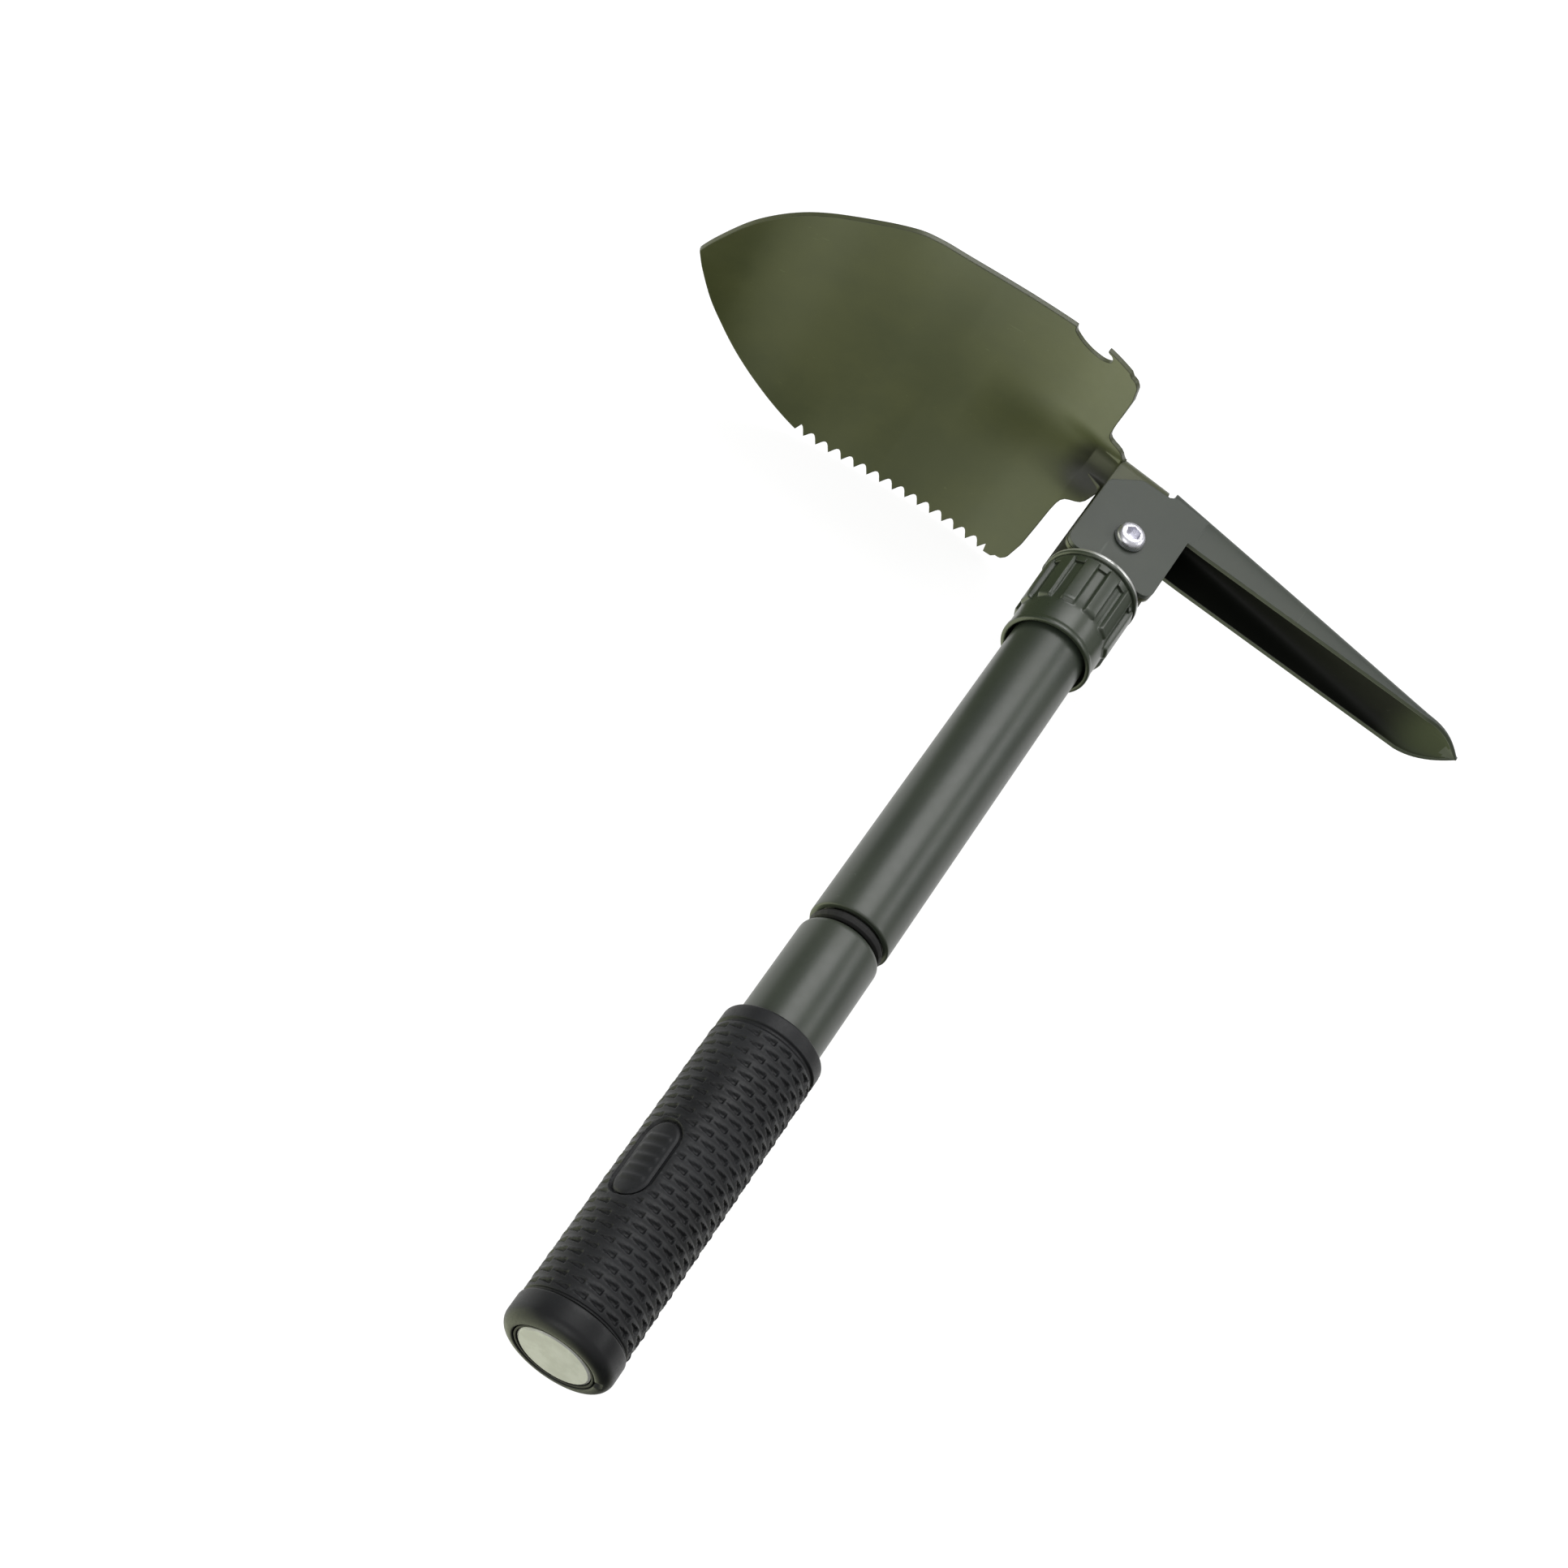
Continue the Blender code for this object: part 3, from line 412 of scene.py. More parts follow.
def rounded(points, n=8):
    out = []
    k = len(points)
    for i in range(k):
        x, y, r = points[i]
        if r <= 0:
            out.append((x, y))
            continue
        p = Vector((x, y))
        a = (Vector(points[i - 1][:2]) - p).normalized()
        b = (Vector(points[(i + 1) % k][:2]) - p).normalized()
        half = a.angle(b) / 2.0
        d = r / math.tan(half)
        c = p + (a + b).normalized() * (r / math.sin(half))
        s = p + a * d - c
        e = p + b * d - c
        turn = s.angle_signed(e)
        for j in range(n + 1):
            v = s.copy()
            v.rotate(Matrix.Rotation(-turn * j / n, 2))
            out.append(tuple(c + v))
    return out


def prism(name, pts, lo, hi, axis, mat=None):
    place = {'Z': lambda p, h: (p[0], p[1], h), 'Y': lambda p, h: (p[0], h, p[1]),
             'X': lambda p, h: (h, p[0], p[1])}[axis]
    rings = [[place(p, lo) for p in pts], [place(p, hi) for p in pts]]
    return ring_skin(name, rings, mat, cap=True)


def combine(ob, tool, op):
    m = ob.modifiers.new(op.lower(), 'BOOLEAN')
    m.operation = op
    m.solver = 'EXACT'
    m.object = tool
    settle(ob)
    bpy.data.objects.remove(tool, do_unlink=True)


def settle(ob, sharp=35.0):
    """Replace the object's mesh with its evaluated one and drop the modifiers."""
    dg = bpy.context.evaluated_depsgraph_get()
    me = bpy.data.meshes.new_from_object(ob.evaluated_get(dg))
    ob.modifiers.clear()
    ob.data = me
    me.shade_smooth()
    me.set_sharp_from_angle(angle=math.radians(sharp))


def piece(ob, body, slot, *nodes):
    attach(ob, body)
    if nodes:
        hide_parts(*nodes)
    return ob


def keys(table, y):
    if y <= table[0][0]:
        return table[0][1]
    if y >= table[-1][0]:
        return table[-1][1]
    for i in range(len(table) - 1):
        if table[i][0] <= y <= table[i + 1][0]:
            break
    x0, v0 = table[i]
    x1, v1 = table[i + 1]
    xm, vm = table[i - 1] if i else (2 * x0 - x1, 2 * v0 - v1)
    xp, vp = table[i + 2] if i + 2 < len(table) else (2 * x1 - x0, 2 * v1 - v0)
    s0, s1 = (v1 - vm) / (x1 - xm), (vp - v0) / (xp - x0)
    t, h = (y - x0) / (x1 - x0), x1 - x0
    return ((2 * t ** 3 - 3 * t ** 2 + 1) * v0 + (t ** 3 - 2 * t ** 2 + t) * h * s0
            + (-2 * t ** 3 + 3 * t ** 2) * v1 + (t ** 3 - t ** 2) * h * s1)


def step(v, a, b):
    t = min(max((v - a) / (b - a), 0.0), 1.0)
    return t * t * (3 - 2 * t)


def lerp_table(table, y):
    if y <= table[0][0]:
        return table[0][1]
    for (y0, v0), (y1, v1) in zip(table[:-1], table[1:]):
        if y <= y1:
            return v0 + (v1 - v0) * (y - y0) / (y1 - y0)
    return table[-1][1]


# ------------------------------------------------------------------------ blade
REAR = ((13.2, 6.9), (13.6, 7.0), (14.4, 9.2), (15.3, 11.4), (16.3, 12.6), (17.5, 13.3),
        (19.2, 14.0), (20.4, 14.7), (21.2, 15.8), (21.6, 17.4), (21.85, 20.5), (22.05, 28.0),
        (22.3, 36.0), (23.4, 42.0), (25.0, 43.9), (27.6, 44.3))


def blade_half_width(y):
    if y <= 40.0:
        t = max(y - NECK_Y, 0.0) / (40.0 - NECK_Y)
        return SHOULDER_W + (BLADE_W - SHOULDER_W) * math.sin(t * math.pi / 2)
    if y <= NOSE_Y:
        return BLADE_W
    return max(keys(NOSE, y), 0.0)


def trough(y, z):
    if y >= 60.0:
        return 0.0
    t = max((y - NECK_Y) / (60.0 - NECK_Y), 0.0)
    return 4.6 * (1.0 - t) ** 1.6 * math.exp(-(abs(z) / (8.5 + 7.0 * t)) ** 2.6)


def blade_x(y, z):
    w = max(blade_half_width(y), 1.0)
    u = min(abs(z) / w, 1.0)
    p = 1.25 + 0.75 * min(max((y - NECK_Y) / 48.0, 0.0), 1.0)
    return keys(EDGE_X, y) + keys(DISH, y) * (1.0 - u ** p) + trough(y, z)


def tooth_inset(y):
    t = (y - TOOTH_FIRST) / TOOTH_PITCH
    if t < -0.5 or t > TEETH - 0.5:
        return 0.0
    return TOOTH_DEPTH * math.sin(math.pi * abs(t - round(t))) ** 1.2


rows = [13.2, 13.6, 14.0, 14.4, 14.85, 15.3, 15.8, 16.3, 16.9, 17.5, 18.3, 19.2, 19.8, 20.4, 20.8,
        21.2, 21.4, 21.6, 21.72, 21.85, 21.95, 22.05, 22.17, 22.3, 22.6, 22.95, 23.3, 23.7, 24.2, 24.8, 25.6, 26.5, 27.6, 28.8]
rows += [TOOTH_FIRST + TOOTH_PITCH * (i / 8.0) for i in range(-5, 8 * TEETH - 3)]
y = rows[-1] + 1.0
while y < 138.0:
    rows.append(y)
    y += 1.1
rows += [139.2, 140.3, 141.3, 142.2, 143.0, 143.6, 144.1, 144.5]
COLS = 44
verts, faces = [], []
for y in rows:
    w0 = lerp_table(REAR, y) if y < 27.6 else blade_half_width(y)
    for j in range(COLS + 1):
        s = -1.0 + 2.0 * j / COLS
        s = math.copysign(abs(s) ** 1.12, s)
        w = w0
        if s < 0:
            w -= tooth_inset(y) * min(1.0, abs(s) ** 6)
        z = s * w
        verts.append(P(blade_x(y, z), y, z))
for a in range(len(rows) - 1):
    for j in range(COLS):
        i = a * (COLS + 1) + j
        faces.append((i, i + COLS + 1, i + COLS + 2, i + 1))
me = bpy.data.meshes.new("blade_skin")
me.from_pydata([tuple(v) for v in verts], [], faces)
bm = bmesh.new()
bm.from_mesh(me)
for f in bm.faces:
    f.normal_update()
if sum(f.normal.x for f in bm.faces) < 0:
    bmesh.ops.reverse_faces(bm, faces=bm.faces)
bm.to_mesh(me)
bm.free()
me.materials.append(PAINT_BLADE)
blade = bpy.data.objects.new("blade_skin", me)
COL.objects.link(blade)
sol = blade.modifiers.new("sheet", 'SOLIDIFY')
sol.thickness = SHEET * 0.001
sol.offset = 1.0
sol.use_even_offset = False
settle(blade)


def u_section(half, web_x, bend, end_x, t, n=10):
    out = [(end_x, -half)]
    out += arc(web_x - bend, -half + bend, bend, -90, 0, n)
    out += arc(web_x - bend, half - bend, bend, 0, 90, n)
    out += [(end_x, half), (end_x, half - t)]
    inner = arc(web_x - bend, half - bend, bend - t, 90, 0, n)
    inner += arc(web_x - bend, -half + bend, bend - t, 0, -90, n)
    return out + inner + [(end_x, -half + t)]


stock = prism("bracket_stock", u_section(BLADE_HALF, BLADE_WEB_X, 5.5, -20.0, SHEET),
              -20.0, 24.0, 'Y')
outline = rounded([(-CHEEK, -CHEEK, CHEEK_CORNER), (-CHEEK, CHEEK, CHEEK_CORNER),
                   (24.3, CHEEK, 1.0), (25.4, 19.4, 0.0), (33.0, 19.4, 0.0),
                   (33.0, BLADE_WEB_Y, 0.0), (19.0, BLADE_WEB_Y - 1.0, 0.0), (13.0, -CHEEK, 4.0)])
combine(stock, prism("bracket_outline", outline, -20.0, 20.0, 'Z'), 'INTERSECT')
combine(blade, stock, 'UNION')


def z_cylinder(name, r, lo, hi, n=48):
    pts = [(r * math.cos(2 * math.pi * j / n), r * math.sin(2 * math.pi * j / n)) for j in range(n)]
    return prism(name, pts, lo, hi, 'Z')


combine(blade, z_cylinder("bolt_hole", BOLT_R + 0.3, -20.0, 20.0), 'DIFFERENCE')
NOTCH = ((48.0, 52.0), (46.6, 46.9), (46.1, 45.1), (44.7, 43.8), (42.6, 42.5), (39.8, 41.5),
         (37.1, 41.3), (35.1, 41.7), (33.6, 42.8), (33.4, 44.4), (34.2, 45.6), (35.8, 46.6),
         (35.2, 52.0))


def spline(points, n=6):
    """Closed Catmull-Rom curve through the points."""
    out = []
    k = len(points)
    for i in range(k):
        p0, p1, p2, p3 = (Vector(points[(i + d) % k]) for d in (-1, 0, 1, 2))
        for j in range(n):
            t = j / n
            out.append(tuple(0.5 * ((2 * p1) + (p2 - p0) * t + (2 * p0 - 5 * p1 + 4 * p2 - p3) * t * t
                                    + (3 * p1 - p0 - 3 * p2 + p3) * t ** 3)))
    return out


inner = spline(NOTCH, 5)
combine(blade, prism("notch_tool", inner, -5.0, 30.0, 'X'), 'DIFFERENCE')
blade.name = blade.data.name = "blade_sheet"
piece(blade, "blade", "blade_paint", "blade")


# ------------------------------------------------------------------------- pick
def pick_section(y):
    run = min(max((PICK_WEB_Y - y) / (PICK_WEB_Y - PICK_TIP_Y), 0.0), 1.0)
    centre = PICK_WEB_X + (PICK_TIP_X - PICK_WEB_X) * run
    edge = PICK_EDGE_ROOT + (PICK_EDGE_END - PICK_EDGE_ROOT) * min(
        max((-20.0 - y) / (-20.0 - PICK_RUNOUT_Y), 0.0), 1.0)
    half = PICK_HALF - 0.02
    if y < PICK_RUNOUT_Y:
        t = (PICK_RUNOUT_Y - y) / (PICK_RUNOUT_Y - PICK_TIP_Y)
        half *= max(1.0 - t ** 2.2, 0.03)
        edge += (PICK_TIP_X - 1.2 - PICK_EDGE_END) * t
    m = 7.0 + (2.1 - 7.0) * min(run * 1.15, 1.0)
    k = 18
    out, inn = [], []
    th = min(SHEET, half * 0.6)
    for i in range(2 * k + 1):
        a = math.pi * (i / (2.0 * k))
        c, s = math.cos(a), math.sin(a)
        cz = math.copysign(abs(c) ** (2.0 / m), c)
        sx = abs(s) ** (2.0 / m)
        out.append((edge + (centre - edge) * sx, half * cz))
        inn.append((edge + (centre - SHEET - edge) * sx, (half - th) * cz))
    return out, inn


stations = [PICK_WEB_Y, -6.0, -9.0, -12.0]
y = -15.0
while y > -94.0:
    stations.append(y)
    y -= 3.0
stations += [-95.0, -96.5, -98.0, -99.5, -101.0, -102.5, -104.0, -105.5, -107.0, -108.3, -109.5,
             -110.6, -111.5, -112.3, -112.9, PICK_TIP_Y]
rings = []
for y in stations:
    o, i = pick_section(y)
    rings.append([(x, y, z) for x, z in o] + [(x, y, z) for x, z in reversed(i)])
pick = ring_skin("pick_channel", rings, PAINT_HEAD, cap=True)
stock = prism("pick_stock", u_section(PICK_HALF, PICK_WEB_X, 3.0, -20.0, SHEET), -26.0, 20.0, 'Y')
outline = rounded([(-CHEEK, -CHEEK, CHEEK_CORNER), (-CHEEK, CHEEK, CHEEK_CORNER),
                   (14.2, CHEEK, 4.5), (21.8, 6.0, 3.0), (22.6, -3.0, 0.0), (24.2, -4.8, 0.0),
                   (24.2, -6.0, 0.0),
                   (24.2, -16.0, 0.0), (14.0, -16.0, 0.0), (PICK_EDGE_ROOT, -CHEEK - 0.1, 0.0)])
combine(stock, prism("pick_outline", outline, -20.0, 20.0, 'Z'), 'INTERSECT')
combine(pick, stock, 'UNION')
combine(pick, z_cylinder("pick_hole", BOLT_R + 0.3, -20.0, 20.0), 'DIFFERENCE')
# the channel's inner faces, towards the spout, take the near-black painted-shade material
pick.data.materials.append(SHADED_CHANNEL_PAINT)
for poly in pick.data.polygons:
    y = (poly.center.y - ORIGIN.y) * 1000.0
    if y < -CHEEK + 1.0:
        o, _ = pick_section(y)
        hollow = P(o[0][0] + 1.0, y, 0.0) - poly.center
        if poly.normal.x * hollow.x + poly.normal.z * hollow.z > 0.0:
            poly.material_index = 1
piece(pick, "pick", "head_paint", "pick")

# ------------------------------------------------------------------- pivot bolt
SEG = 96
prof = [(-15.2, BOLT_R - 0.5), (-14.7, BOLT_R), (9.3, BOLT_R), (9.3, HEAD_R - 0.15),
        (9.42, HEAD_R), (9.75, HEAD_R)]
prof += [(9.75 + (HEAD_H - 0.45) * math.sin(math.radians(a)),
          HEAD_R * 0.60 + HEAD_R * 0.40 * math.cos(math.radians(a))) for a in range(10, 91, 8)]
rings = [[(r * math.cos(2 * math.pi * j / SEG), r * math.sin(2 * math.pi * j / SEG), z)
          for j in range(SEG)] for z, r in prof]
bolt = ring_skin("button_bolt", rings, ZINC, cap=True, sharp=40.0)
hexa = [(2.3 * math.cos(math.radians(60 * i + 12)), 2.3 * math.sin(math.radians(60 * i + 12)))
        for i in range(6)]
combine(bolt, prism("hex_tool", hexa, 9.9, 14.0, 'Z'), 'DIFFERENCE')
piece(bolt, "handle", "zinc", "pivot_bolt")

# --------------------------------------------------------------------- lock nut
LUGS, PER = 12, 22


def lug_wave(j):
    """0 between the lugs, 1 on top of one, with sloped and slightly rounded flanks."""
    u = (j % PER) / PER
    return step(u, 0.16, 0.27) * (1.0 - step(u, 0.73, 0.84))


def nut_body(x):
    d = NUT_TOP - x
    if d < 0.35:
        return 13.95 + 0.35 * math.sqrt(max(1 - ((0.35 - d) / 0.35) ** 2, 0.0))
    if d < 1.55:
        return 14.3
    if d < 1.9:
        return 14.3 - 0.35 * (1 - math.sqrt(max(1 - ((d - 1.55) / 0.35) ** 2, 0.0)))
    if d < 2.6:
        return 13.95 - 1.15 * step(d, 1.9, 2.2)
    if d < 22.0:
        return 12.8 + 0.3 * step(d, 17.0, 21.0)
    if d < 27.9:
        return 13.1 - 0.15 * (d - 22.0) / 5.9
    if d < 28.4:
        return 12.95 + 0.3 * step(d, 27.9, 28.4)
    if d < 29.4:
        return 13.25
    return 13.25 - 0.35 * (1 - math.sqrt(max(1 - ((d - 29.4) / 0.4) ** 2, 0.0)))


ds = [0.0, 0.06, 0.15, 0.25, 0.35, 1.0, 1.55, 1.65, 1.78, 1.9, 2.0, 2.1, 2.2, 2.6, 2.75, 2.95, 3.2,
      3.6, 6.0, 10.0, 14.0, 17.0, 18.6, 19.6, 19.9, 20.15, 20.35, 20.55, 21.0, 22.0, 25.0, 27.4,
      27.9, 28.05, 28.2, 28.4, 28.9, 29.4, 29.5, 29.6, 29.7, 29.8]
rings = []
N = LUGS * PER
for d in ds:
    x = NUT_TOP - d
    up = step(d, 2.6, 3.3) * (1.0 - step(d, 19.7, 20.5))
    ring = []
    for j in range(N):
        r = nut_body(x)
        lug = 14.2 - 0.10 * step(d, 3.0, 19.0)
        if up > 0:
            r = r + (lug - r) * up * lug_wave(j)
        a = 2 * math.pi * (j + 3.0) / N
        ring.append((x, r * math.sin(a), r * math.cos(a)))
    rings.append(ring)
for x, r in ((NUT_BOTTOM, NUT_SKIRT_R + 0.2), (NUT_BOTTOM + 0.2, NUT_SKIRT_R),
             (NUT_THREAD_END, NUT_SKIRT_R), (NUT_THREAD_END, NUT_THREAD_R),
             (NUT_CB_FLOOR, NUT_THREAD_R), (NUT_CB_FLOOR, NUT_CB_R), (NUT_TOP - 0.15, NUT_CB_R),
             (NUT_TOP, NUT_CB_R + 0.15)):
    rings.append([(x, r * math.sin(2 * math.pi * (j + 3.0) / N),
                   r * math.cos(2 * math.pi * (j + 3.0) / N)) for j in range(N)])
nut = ring_skin("lug_nut", rings, PAINT_NUT, wrap=True, sharp=38.0)
piece(nut, "nut", "nut_paint", "lock_nut")

# ----------------------------------------------------------------- handle tubes
rim = arc(UPPER_END + 0.45, TUBE_R - 0.45, 0.45, 90, 180, 5)
upper = [(TUBE_TOP, TUBE_R - TUBE_WALL), (TUBE_TOP, TUBE_R - 0.3), (TUBE_TOP - 0.4, TUBE_R)]
upper += [(TUBE_TOP - 0.4 - i * (TUBE_TOP - 0.4 - UPPER_END - 2.0) / 12.0, TUBE_R)
          for i in range(1, 13)]
upper += rim + [(UPPER_END, TUBE_R - TUBE_WALL + 0.15), (UPPER_END + 0.15, TUBE_R - TUBE_WALL)]
tube_a = lathe("tube_upper", upper, PAINT_TUBE, 144)
piece(tube_a, "handle", "tube_paint", "upper_tube")

LT = UPPER_END - 3.6
LT_END = -277.9
lower = [(-143.0, 5.8), (-143.0, 6.9), (-143.6, 7.3), (LT + 3.3, 7.3), (LT + 0.5, 7.3),
         (LT + 0.1, 8.0), (LT - 0.1, 8.9), (LT - 0.35, 9.6), (LT - 0.75, 10.2), (LT - 1.25, 10.65),
         (LT - 1.8, 10.9), (LT - 2.4, TUBE_R), (LT - 20.0, TUBE_R), (LT - 60.0, TUBE_R),
         (LT_END, TUBE_R), (LT_END, TUBE_R - TUBE_WALL), (LT - 3.2, TUBE_R - TUBE_WALL),
         (LT - 1.6, 8.2), (LT - 0.9, 5.8)]
tube_b = lathe("tube_lower", lower, PAINT_TUBE, 144)
piece(tube_b, "lower_handle", "tube_paint", "lower_tube")

# ------------------------------------------------------------------------- grip
ROWS, STUDS = 28, 19
SUB_A, SUB_B = 10, 12
START, STOP = GRIP_BAND - 0.8, GRIP_END + 0.6
PITCH = (START - STOP) / ROWS


def oval(x, phi):
    """Signed distance in mm to the badge's outline on the grip's surface."""
    u = abs(x - BADGE_X)
    d = phi - math.radians(BADGE_ANGLE)
    d = (d + math.pi) % (2 * math.pi) - math.pi
    v = abs(d) * 13.6
    half = (BADGE_L - BADGE_W) / 2.0
    return math.hypot(max(u - half, 0.0), v) - BADGE_W / 2.0


def pit(a, u, size):
    """Depth 0..1 of one wedge-shaped pit between the studs: a along the handle, u round it
    from the pit's blunt, deep end to its point."""
    half = size * 0.41 * max(1.0 - u / 0.92, 0.0) ** 0.75
    if half < 0.02:
        return 0.0
    wall = (half - abs(a)) / 0.12
    return max(0.0, min(wall, 1.0) * (1.0 - 0.45 * u) * min(u / 0.09, 1.0))


def grip_r(x, phi):
    if x > GRIP_BAND:
        d = GRIP_TOP - x
        r = 13.5 - 0.75 * (1 - math.sqrt(max(1 - (max(0.8 - d, 0.0) / 0.8) ** 2, 0.0)))
        tail = x - GRIP_BAND
        r -= 0.65 * (1.0 - step(tail, 0.55, 0.95))
        seam = (phi + math.radians(82.0)) * 13.5
        r -= 0.5 * (1.0 - step(abs(seam), 0.25, 0.55))
        return r
    if x > START:
        return 12.85 + 0.3 * step(GRIP_BAND - x, 0.0, 0.5)
    if x < STOP:
        return 13.15
    t = (START - x) / PITCH
    row = math.floor(t)
    a = t - row - 0.5
    u = (phi / (2 * math.pi) * STUDS + (0.5 if row % 2 else 0.0)) % 1.0
    face = math.cos(phi - math.radians(BADGE_ANGLE - 12.0))
    side = (1.0 - face) / 2.0
    r = 13.70 - (0.75 + 0.45 * side) * pit(a, u, 0.66 + 0.50 * side)
    # the ribs stand a little prouder along their middle
    r -= (0.12 + 0.45 * side) * (abs(a) * 2.0) ** 1.5
    o = oval(x, phi)
    if o < 1.5:
        flat = 13.55
        r = flat + (r - flat) * step(o, 0.45, 1.5)
        r -= 1.0 * (1.0 - step(o, -0.05, 0.30))
    return r


xs = [GRIP_TOP, GRIP_TOP - 0.05, GRIP_TOP - 0.15, GRIP_TOP - 0.3, GRIP_TOP - 0.5, GRIP_TOP - 0.8,
      GRIP_TOP - 2.0, GRIP_TOP - 3.3, GRIP_BAND + 1.0, GRIP_BAND + 0.85, GRIP_BAND + 0.7,
      GRIP_BAND + 0.55, GRIP_BAND + 0.2, GRIP_BAND, GRIP_BAND - 0.25, GRIP_BAND - 0.5]
xs += [START - PITCH * i / SUB_A for i in range(ROWS * SUB_A + 1)]
xs += [STOP - 0.2, GRIP_END]
NG = STUDS * SUB_B
rings = []
for x in xs:
    ring = []
    for j in range(NG):
        phi = 2 * math.pi * j / NG
        if phi > math.pi:
            phi -= 2 * math.pi
        r = grip_r(x, phi)
        ring.append((x, r * math.sin(phi), r * math.cos(phi)))
    rings.append(ring)
rings.append([(GRIP_END, (TUBE_R + GAP) * math.sin(2 * math.pi * j / NG),
               (TUBE_R + GAP) * math.cos(2 * math.pi * j / NG)) for j in range(NG)])
rings.append([(GRIP_TOP, (TUBE_R + GAP) * math.sin(2 * math.pi * j / NG),
               (TUBE_R + GAP) * math.cos(2 * math.pi * j / NG)) for j in range(NG)])
grip = ring_skin("studded_grip", rings, BLACK, wrap=True, sharp=30.0)
piece(grip, "lower_handle", "grip_black", "grip")

# oval plate with plain cross ridges, set into the grip's pocket
BL, BW = BADGE_L - 0.9, BADGE_W - 0.9
NX, NY = 72, 30
half = (BL - BW) / 2.0
top, bottom = [], []
for i in range(NX + 1):
    x = BL / 2.0 * math.sin((-1.0 + 2.0 * i / NX) * math.pi / 2.0)
    over = max(abs(x) - half, 0.0)
    w = math.sqrt(max((BW / 2.0) ** 2 - over ** 2, 0.02))
    for j in range(NY + 1):
        v = w * math.sin((-1.0 + 2.0 * j / NY) * math.pi / 2.0)
        inside = BW / 2.0 - math.hypot(max(abs(x) - half, 0.0), v)
        r = 13.05 + 0.28 * step(inside, 0.0, 0.7)
        # five blunt bars across the plate's middle
        k = (x / 2.9) - round(x / 2.9)
        bar = 1.0 - step(abs(k) * 2.9, 0.45, 0.85)
        if abs(x) < 7.2:
            r += 0.26 * bar * step(inside, 1.3, 1.9)
        a = math.radians(BADGE_ANGLE) + v / 13.6
        top.append((BADGE_X + x, r * math.sin(a), r * math.cos(a)))
        bottom.append((BADGE_X + x, 12.62 * math.sin(a), 12.62 * math.cos(a)))
verts = [P(*p) for p in top + bottom]
off = len(top)
faces = []
for i in range(NX):
    for j in range(NY):
        p = i * (NY + 1) + j
        q = p + NY + 1
        faces.append((p, q, q + 1, p + 1))
        faces.append((off + p, off + p + 1, off + q + 1, off + q))
rimloop = [j for j in range(NY + 1)] + [i * (NY + 1) + NY for i in range(1, NX + 1)]
rimloop += [NX * (NY + 1) + j for j in range(NY - 1, -1, -1)] + [i * (NY + 1) for i in range(NX - 1, 0, -1)]
for a, b in zip(rimloop, rimloop[1:] + rimloop[:1]):
    faces.append((a, b, off + b, off + a))
badge = mesh_object("oval_plate", verts, faces, BLACK_SMOOTH, 40.0)
piece(badge, "lower_handle", "grip_black", "grip_badge")

# ------------------------------------------------------------------- end collar
prof = [(GRIP_END - GAP, 9.1), (GRIP_END - GAP, COLLAR_R - 0.5)]
prof += [(GRIP_END - GAP - 0.5 + 0.5 * math.cos(math.radians(a)),
          COLLAR_R - 0.5 + 0.5 * math.sin(math.radians(a))) for a in (22, 45, 68, 90)]
prof += [(GRIP_END - 2.0, COLLAR_R)]
prof += [(BUTT + 3.0 - 3.0 * math.sin(math.radians(a)),
          COLLAR_R - 3.0 + 3.0 * math.cos(math.radians(a))) for a in range(0, 91, 9)]
prof += [(BUTT, 10.65), (BUTT + 0.08, 10.5), (BUTT + 0.3, 10.42), (-280.6, 10.4), (-280.6, 8.0),
         (-268.0, 8.0), (-268.0, 9.1)]
NC = 168
rings = []
for x, r in prof:
    ring = []
    for j in range(NC):
        phi = 2 * math.pi * j / NC
        rr = r
        d = phi - 2 * math.pi if phi > math.pi else phi
        # moulding gate: a short scooped notch on the rear face's inner lip
        gate = (d + math.radians(78.0)) * 12.0
        if r > 10.2 and x < BUTT + 1.0 and abs(gate) < 1.4:
            rr = r
            xx = x + 1.1 * (1 - (gate / 1.4) ** 2) * (1.0 - step(r, 11.6, 12.4))
        else:
            xx = x
        ring.append((xx, rr * math.sin(phi), rr * math.cos(phi)))
    rings.append(ring)
collar = ring_skin("butt_collar", rings, BLACK_SMOOTH, wrap=True, sharp=38.0)
piece(collar, "lower_handle", "grip_black", "end_collar")


# ------------------------------------------------------------------------ floor
def plane(name, size, z, mat):
    n = 8
    verts, faces = [], []
    for i in range(n + 1):
        for j in range(n + 1):
            verts.append((size * (i / n - 0.5), size * (j / n - 0.5), z))
    for i in range(n):
        for j in range(n):
            p = i * (n + 1) + j
            faces.append((p, p + n + 1, p + n + 2, p + 1))
    me = bpy.data.meshes.new(name)
    me.from_pydata(verts, [], faces)
    me.materials.append(mat)
    ob = bpy.data.objects.new(name, me)
    COL.objects.link(ob)
    return ob


m = bpy.data.materials.new("floor_white")
m.use_nodes = True
b = m.node_tree.nodes["Principled BSDF"]
b.inputs["Base Color"].default_value = (0.30, 0.30, 0.30, 1.0)
b.inputs["Roughness"].default_value = 0.9
b.inputs["Specular IOR Level"].default_value = 0.0
b.inputs["Emission Color"].default_value = (1.0, 1.0, 1.0, 1.0)
b.inputs["Emission Strength"].default_value = 0.86
floor = plane("floor", 12.0, cad_box[0][2] - 0.0006, m)
floor.visible_diffuse = False
floor.visible_glossy = False
floor.visible_transmission = False
floor.visible_shadow = False

# ----------------------------------------------------------------------- lights
world = bpy.data.worlds.new("studio")
bpy.context.scene.world = world
world.use_nodes = True
wt = world.node_tree
bg = wt.nodes["Background"]
co = wt.nodes.new("ShaderNodeTexCoord")
sp = wt.nodes.new("ShaderNodeSeparateXYZ")
wt.links.new(co.outputs["Generated"], sp.inputs[0])


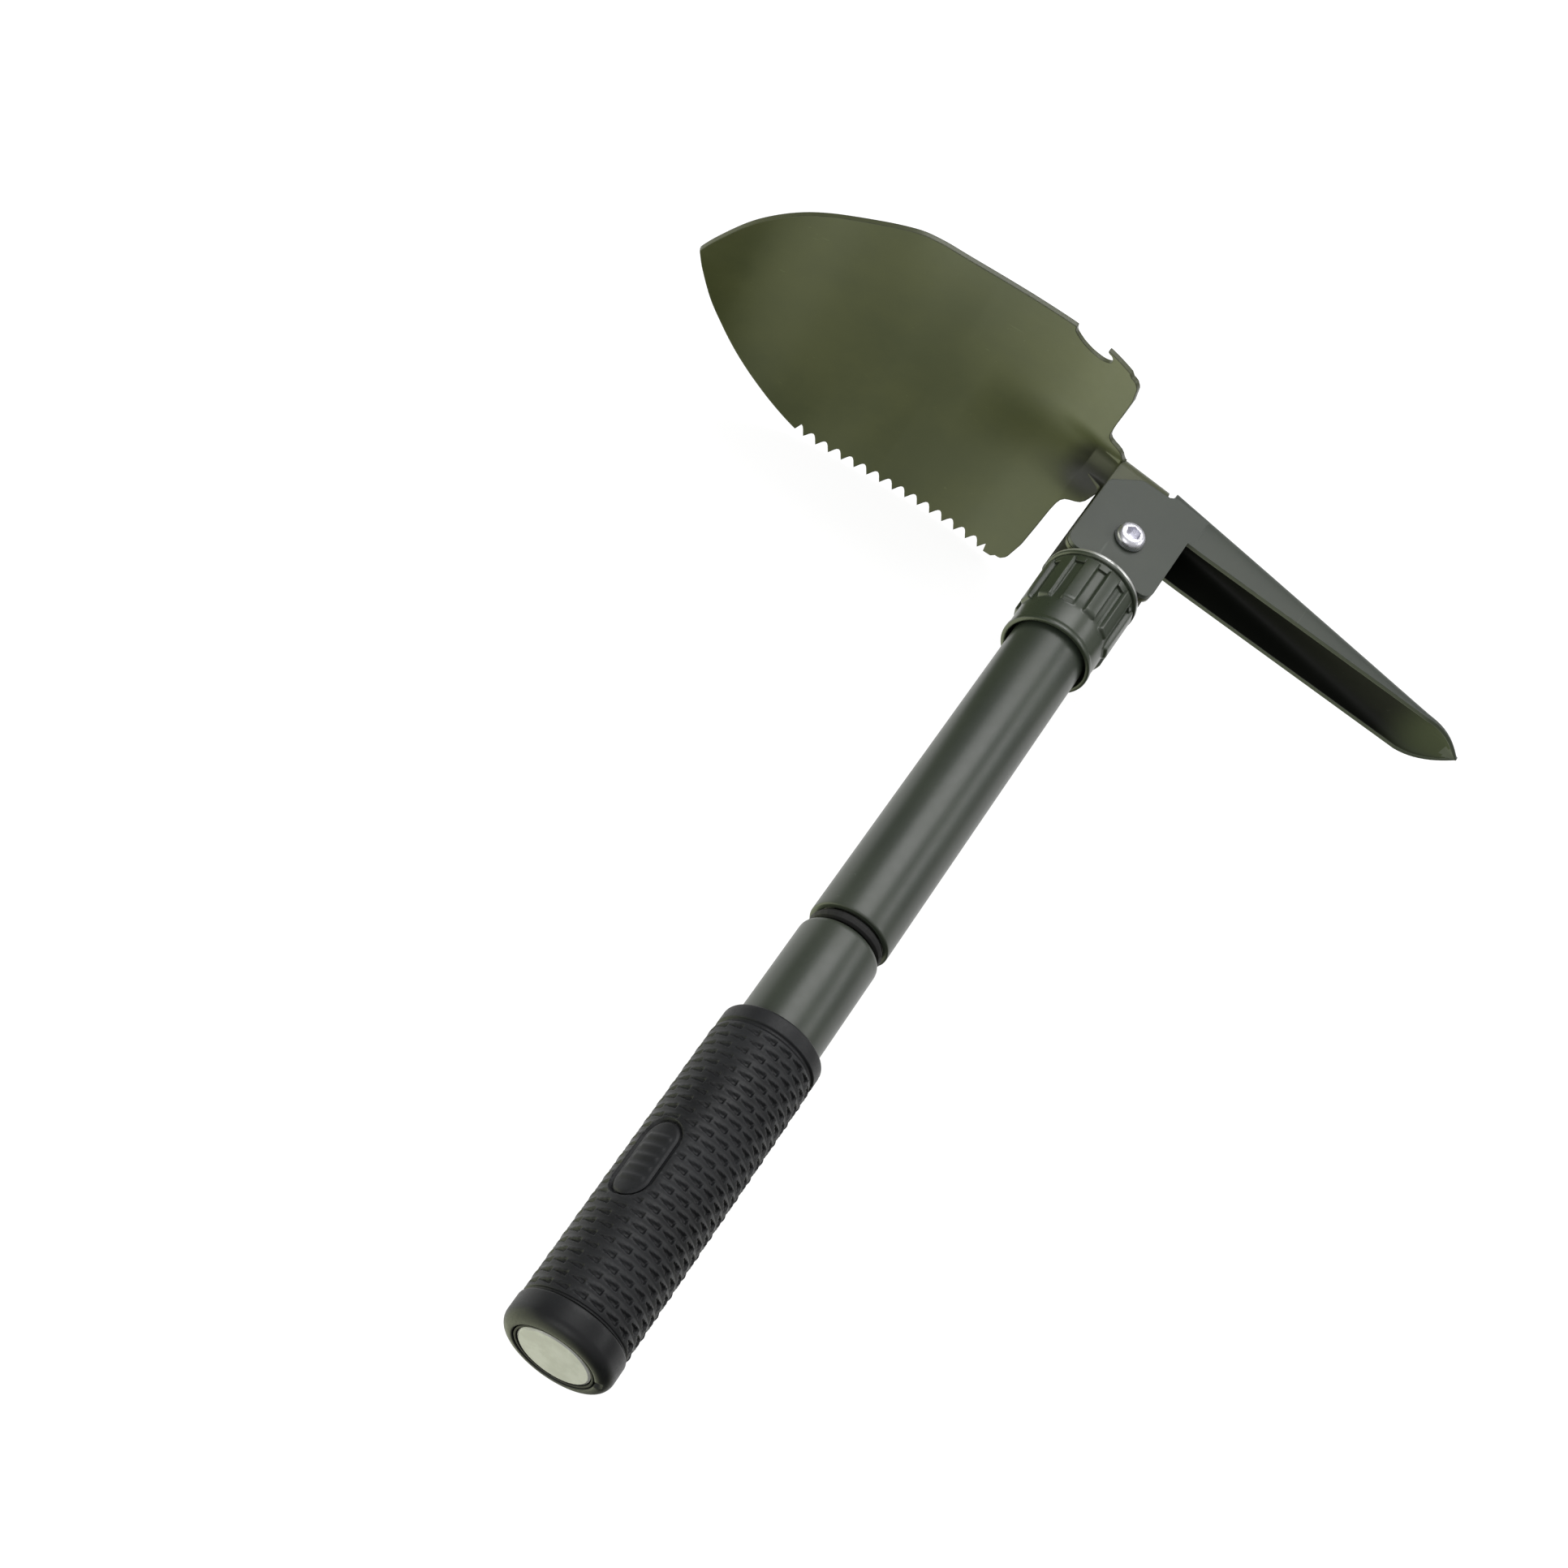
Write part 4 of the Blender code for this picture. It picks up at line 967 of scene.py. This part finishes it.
def wramp(src, a, b, lo, hi):
    n = wt.nodes.new("ShaderNodeMapRange")
    n.interpolation_type = 'SMOOTHSTEP'
    wt.links.new(src, n.inputs["Value"])
    for key, v in (("From Min", a), ("From Max", b), ("To Min", lo), ("To Max", hi)):
        n.inputs[key].default_value = v
    return n.outputs["Result"]


def wmath(op, a, b):
    n = wt.nodes.new("ShaderNodeMath")
    n.operation = op
    for s, v in ((n.inputs[0], a), (n.inputs[1], b)):
        if isinstance(v, (int, float)):
            s.default_value = v
        else:
            wt.links.new(v, s)
    return n.outputs[0]


X, Y, Z = sp.outputs["X"], sp.outputs["Y"], sp.outputs["Z"]
up = wramp(Z, -0.12, 0.12, 0.0, 1.0)
sky = wmath('MULTIPLY', wramp(Z, 0.1, 0.8, 0.28, 0.60), wramp(Y, 0.35, 0.95, 1.0, 0.45))
back = wramp(X, -0.25, 0.25, 0.0, 1.0)
front = wramp(Y, -0.36, 0.12, 0.02, 1.80)
low = wmath('ADD', wmath('MULTIPLY', back, 1.0),
            wmath('MULTIPLY', wmath('SUBTRACT', 1.0, back), front))
total = wmath('ADD', wmath('MULTIPLY', up, sky),
              wmath('MULTIPLY', wmath('SUBTRACT', 1.0, up), low))
wt.links.new(total, bg.inputs["Strength"])
# the bench in front of the object throws back a slightly warm, greenish light
tint = wt.nodes.new("ShaderNodeMix")
tint.data_type = 'RGBA'
wt.links.new(wmath('MULTIPLY', wmath('SUBTRACT', 1.0, up), wmath('SUBTRACT', 1.0, back)),
             tint.inputs[0])
tint.inputs[6].default_value = (1.0, 1.0, 0.99, 1.0)
tint.inputs[7].default_value = (0.95, 1.0, 0.70, 1.0)
wt.links.new(tint.outputs[2], bg.inputs["Color"])


def softbox(name, direction, dist, w, h, power, color=(1, 1, 1)):
    d = Vector(direction).normalized()
    ld = bpy.data.lights.new(name, 'AREA')
    ld.shape = 'RECTANGLE'
    ld.size, ld.size_y = w, h
    ld.energy = power
    ld.color = color
    ob = bpy.data.objects.new(name, ld)
    ob.location = Vector((0.0, 0.0, 0.05)) + d * dist
    ob.rotation_euler = (-d).to_track_quat('-Z', 'X').to_euler()
    ob.visible_camera = False
    COL.objects.link(ob)
    return ob


softbox("key", (0.52, 0.12, 0.85), 1.1, 0.55, 0.75, 4.3)
softbox("strip", (0.50, -0.66, 0.56), 1.1, 0.22, 0.8, 1.7)
softbox("fill", (-0.75, 0.25, 0.60), 1.3, 0.8, 0.8, 3.0)

# ----------------------------------------------------------------------- camera
cam = bpy.data.cameras.new("camera")
cam.sensor_fit = 'HORIZONTAL'
cam.sensor_width = 36.0
cam.lens = 54.9
cam.clip_start = 0.01
cam.clip_end = 50.0
camera = bpy.data.objects.new("camera", cam)
right = Vector((0.4962, -0.7967, 0.345))
upv = Vector((0.65, 0.6044, 0.4607))
backv = Vector((-0.5756, -0.0044, 0.8178))
backv.normalize()
right = (right - backv * right.dot(backv)).normalized()
upv = backv.cross(right)
rot = Matrix((right, upv, backv)).transposed().to_4x4()
camera.matrix_world = Matrix.Translation(P(-474.64, 32.25, 488.27)) @ rot
COL.objects.link(camera)
bpy.context.scene.camera = camera
bpy.context.scene.view_settings.view_transform = 'Standard'
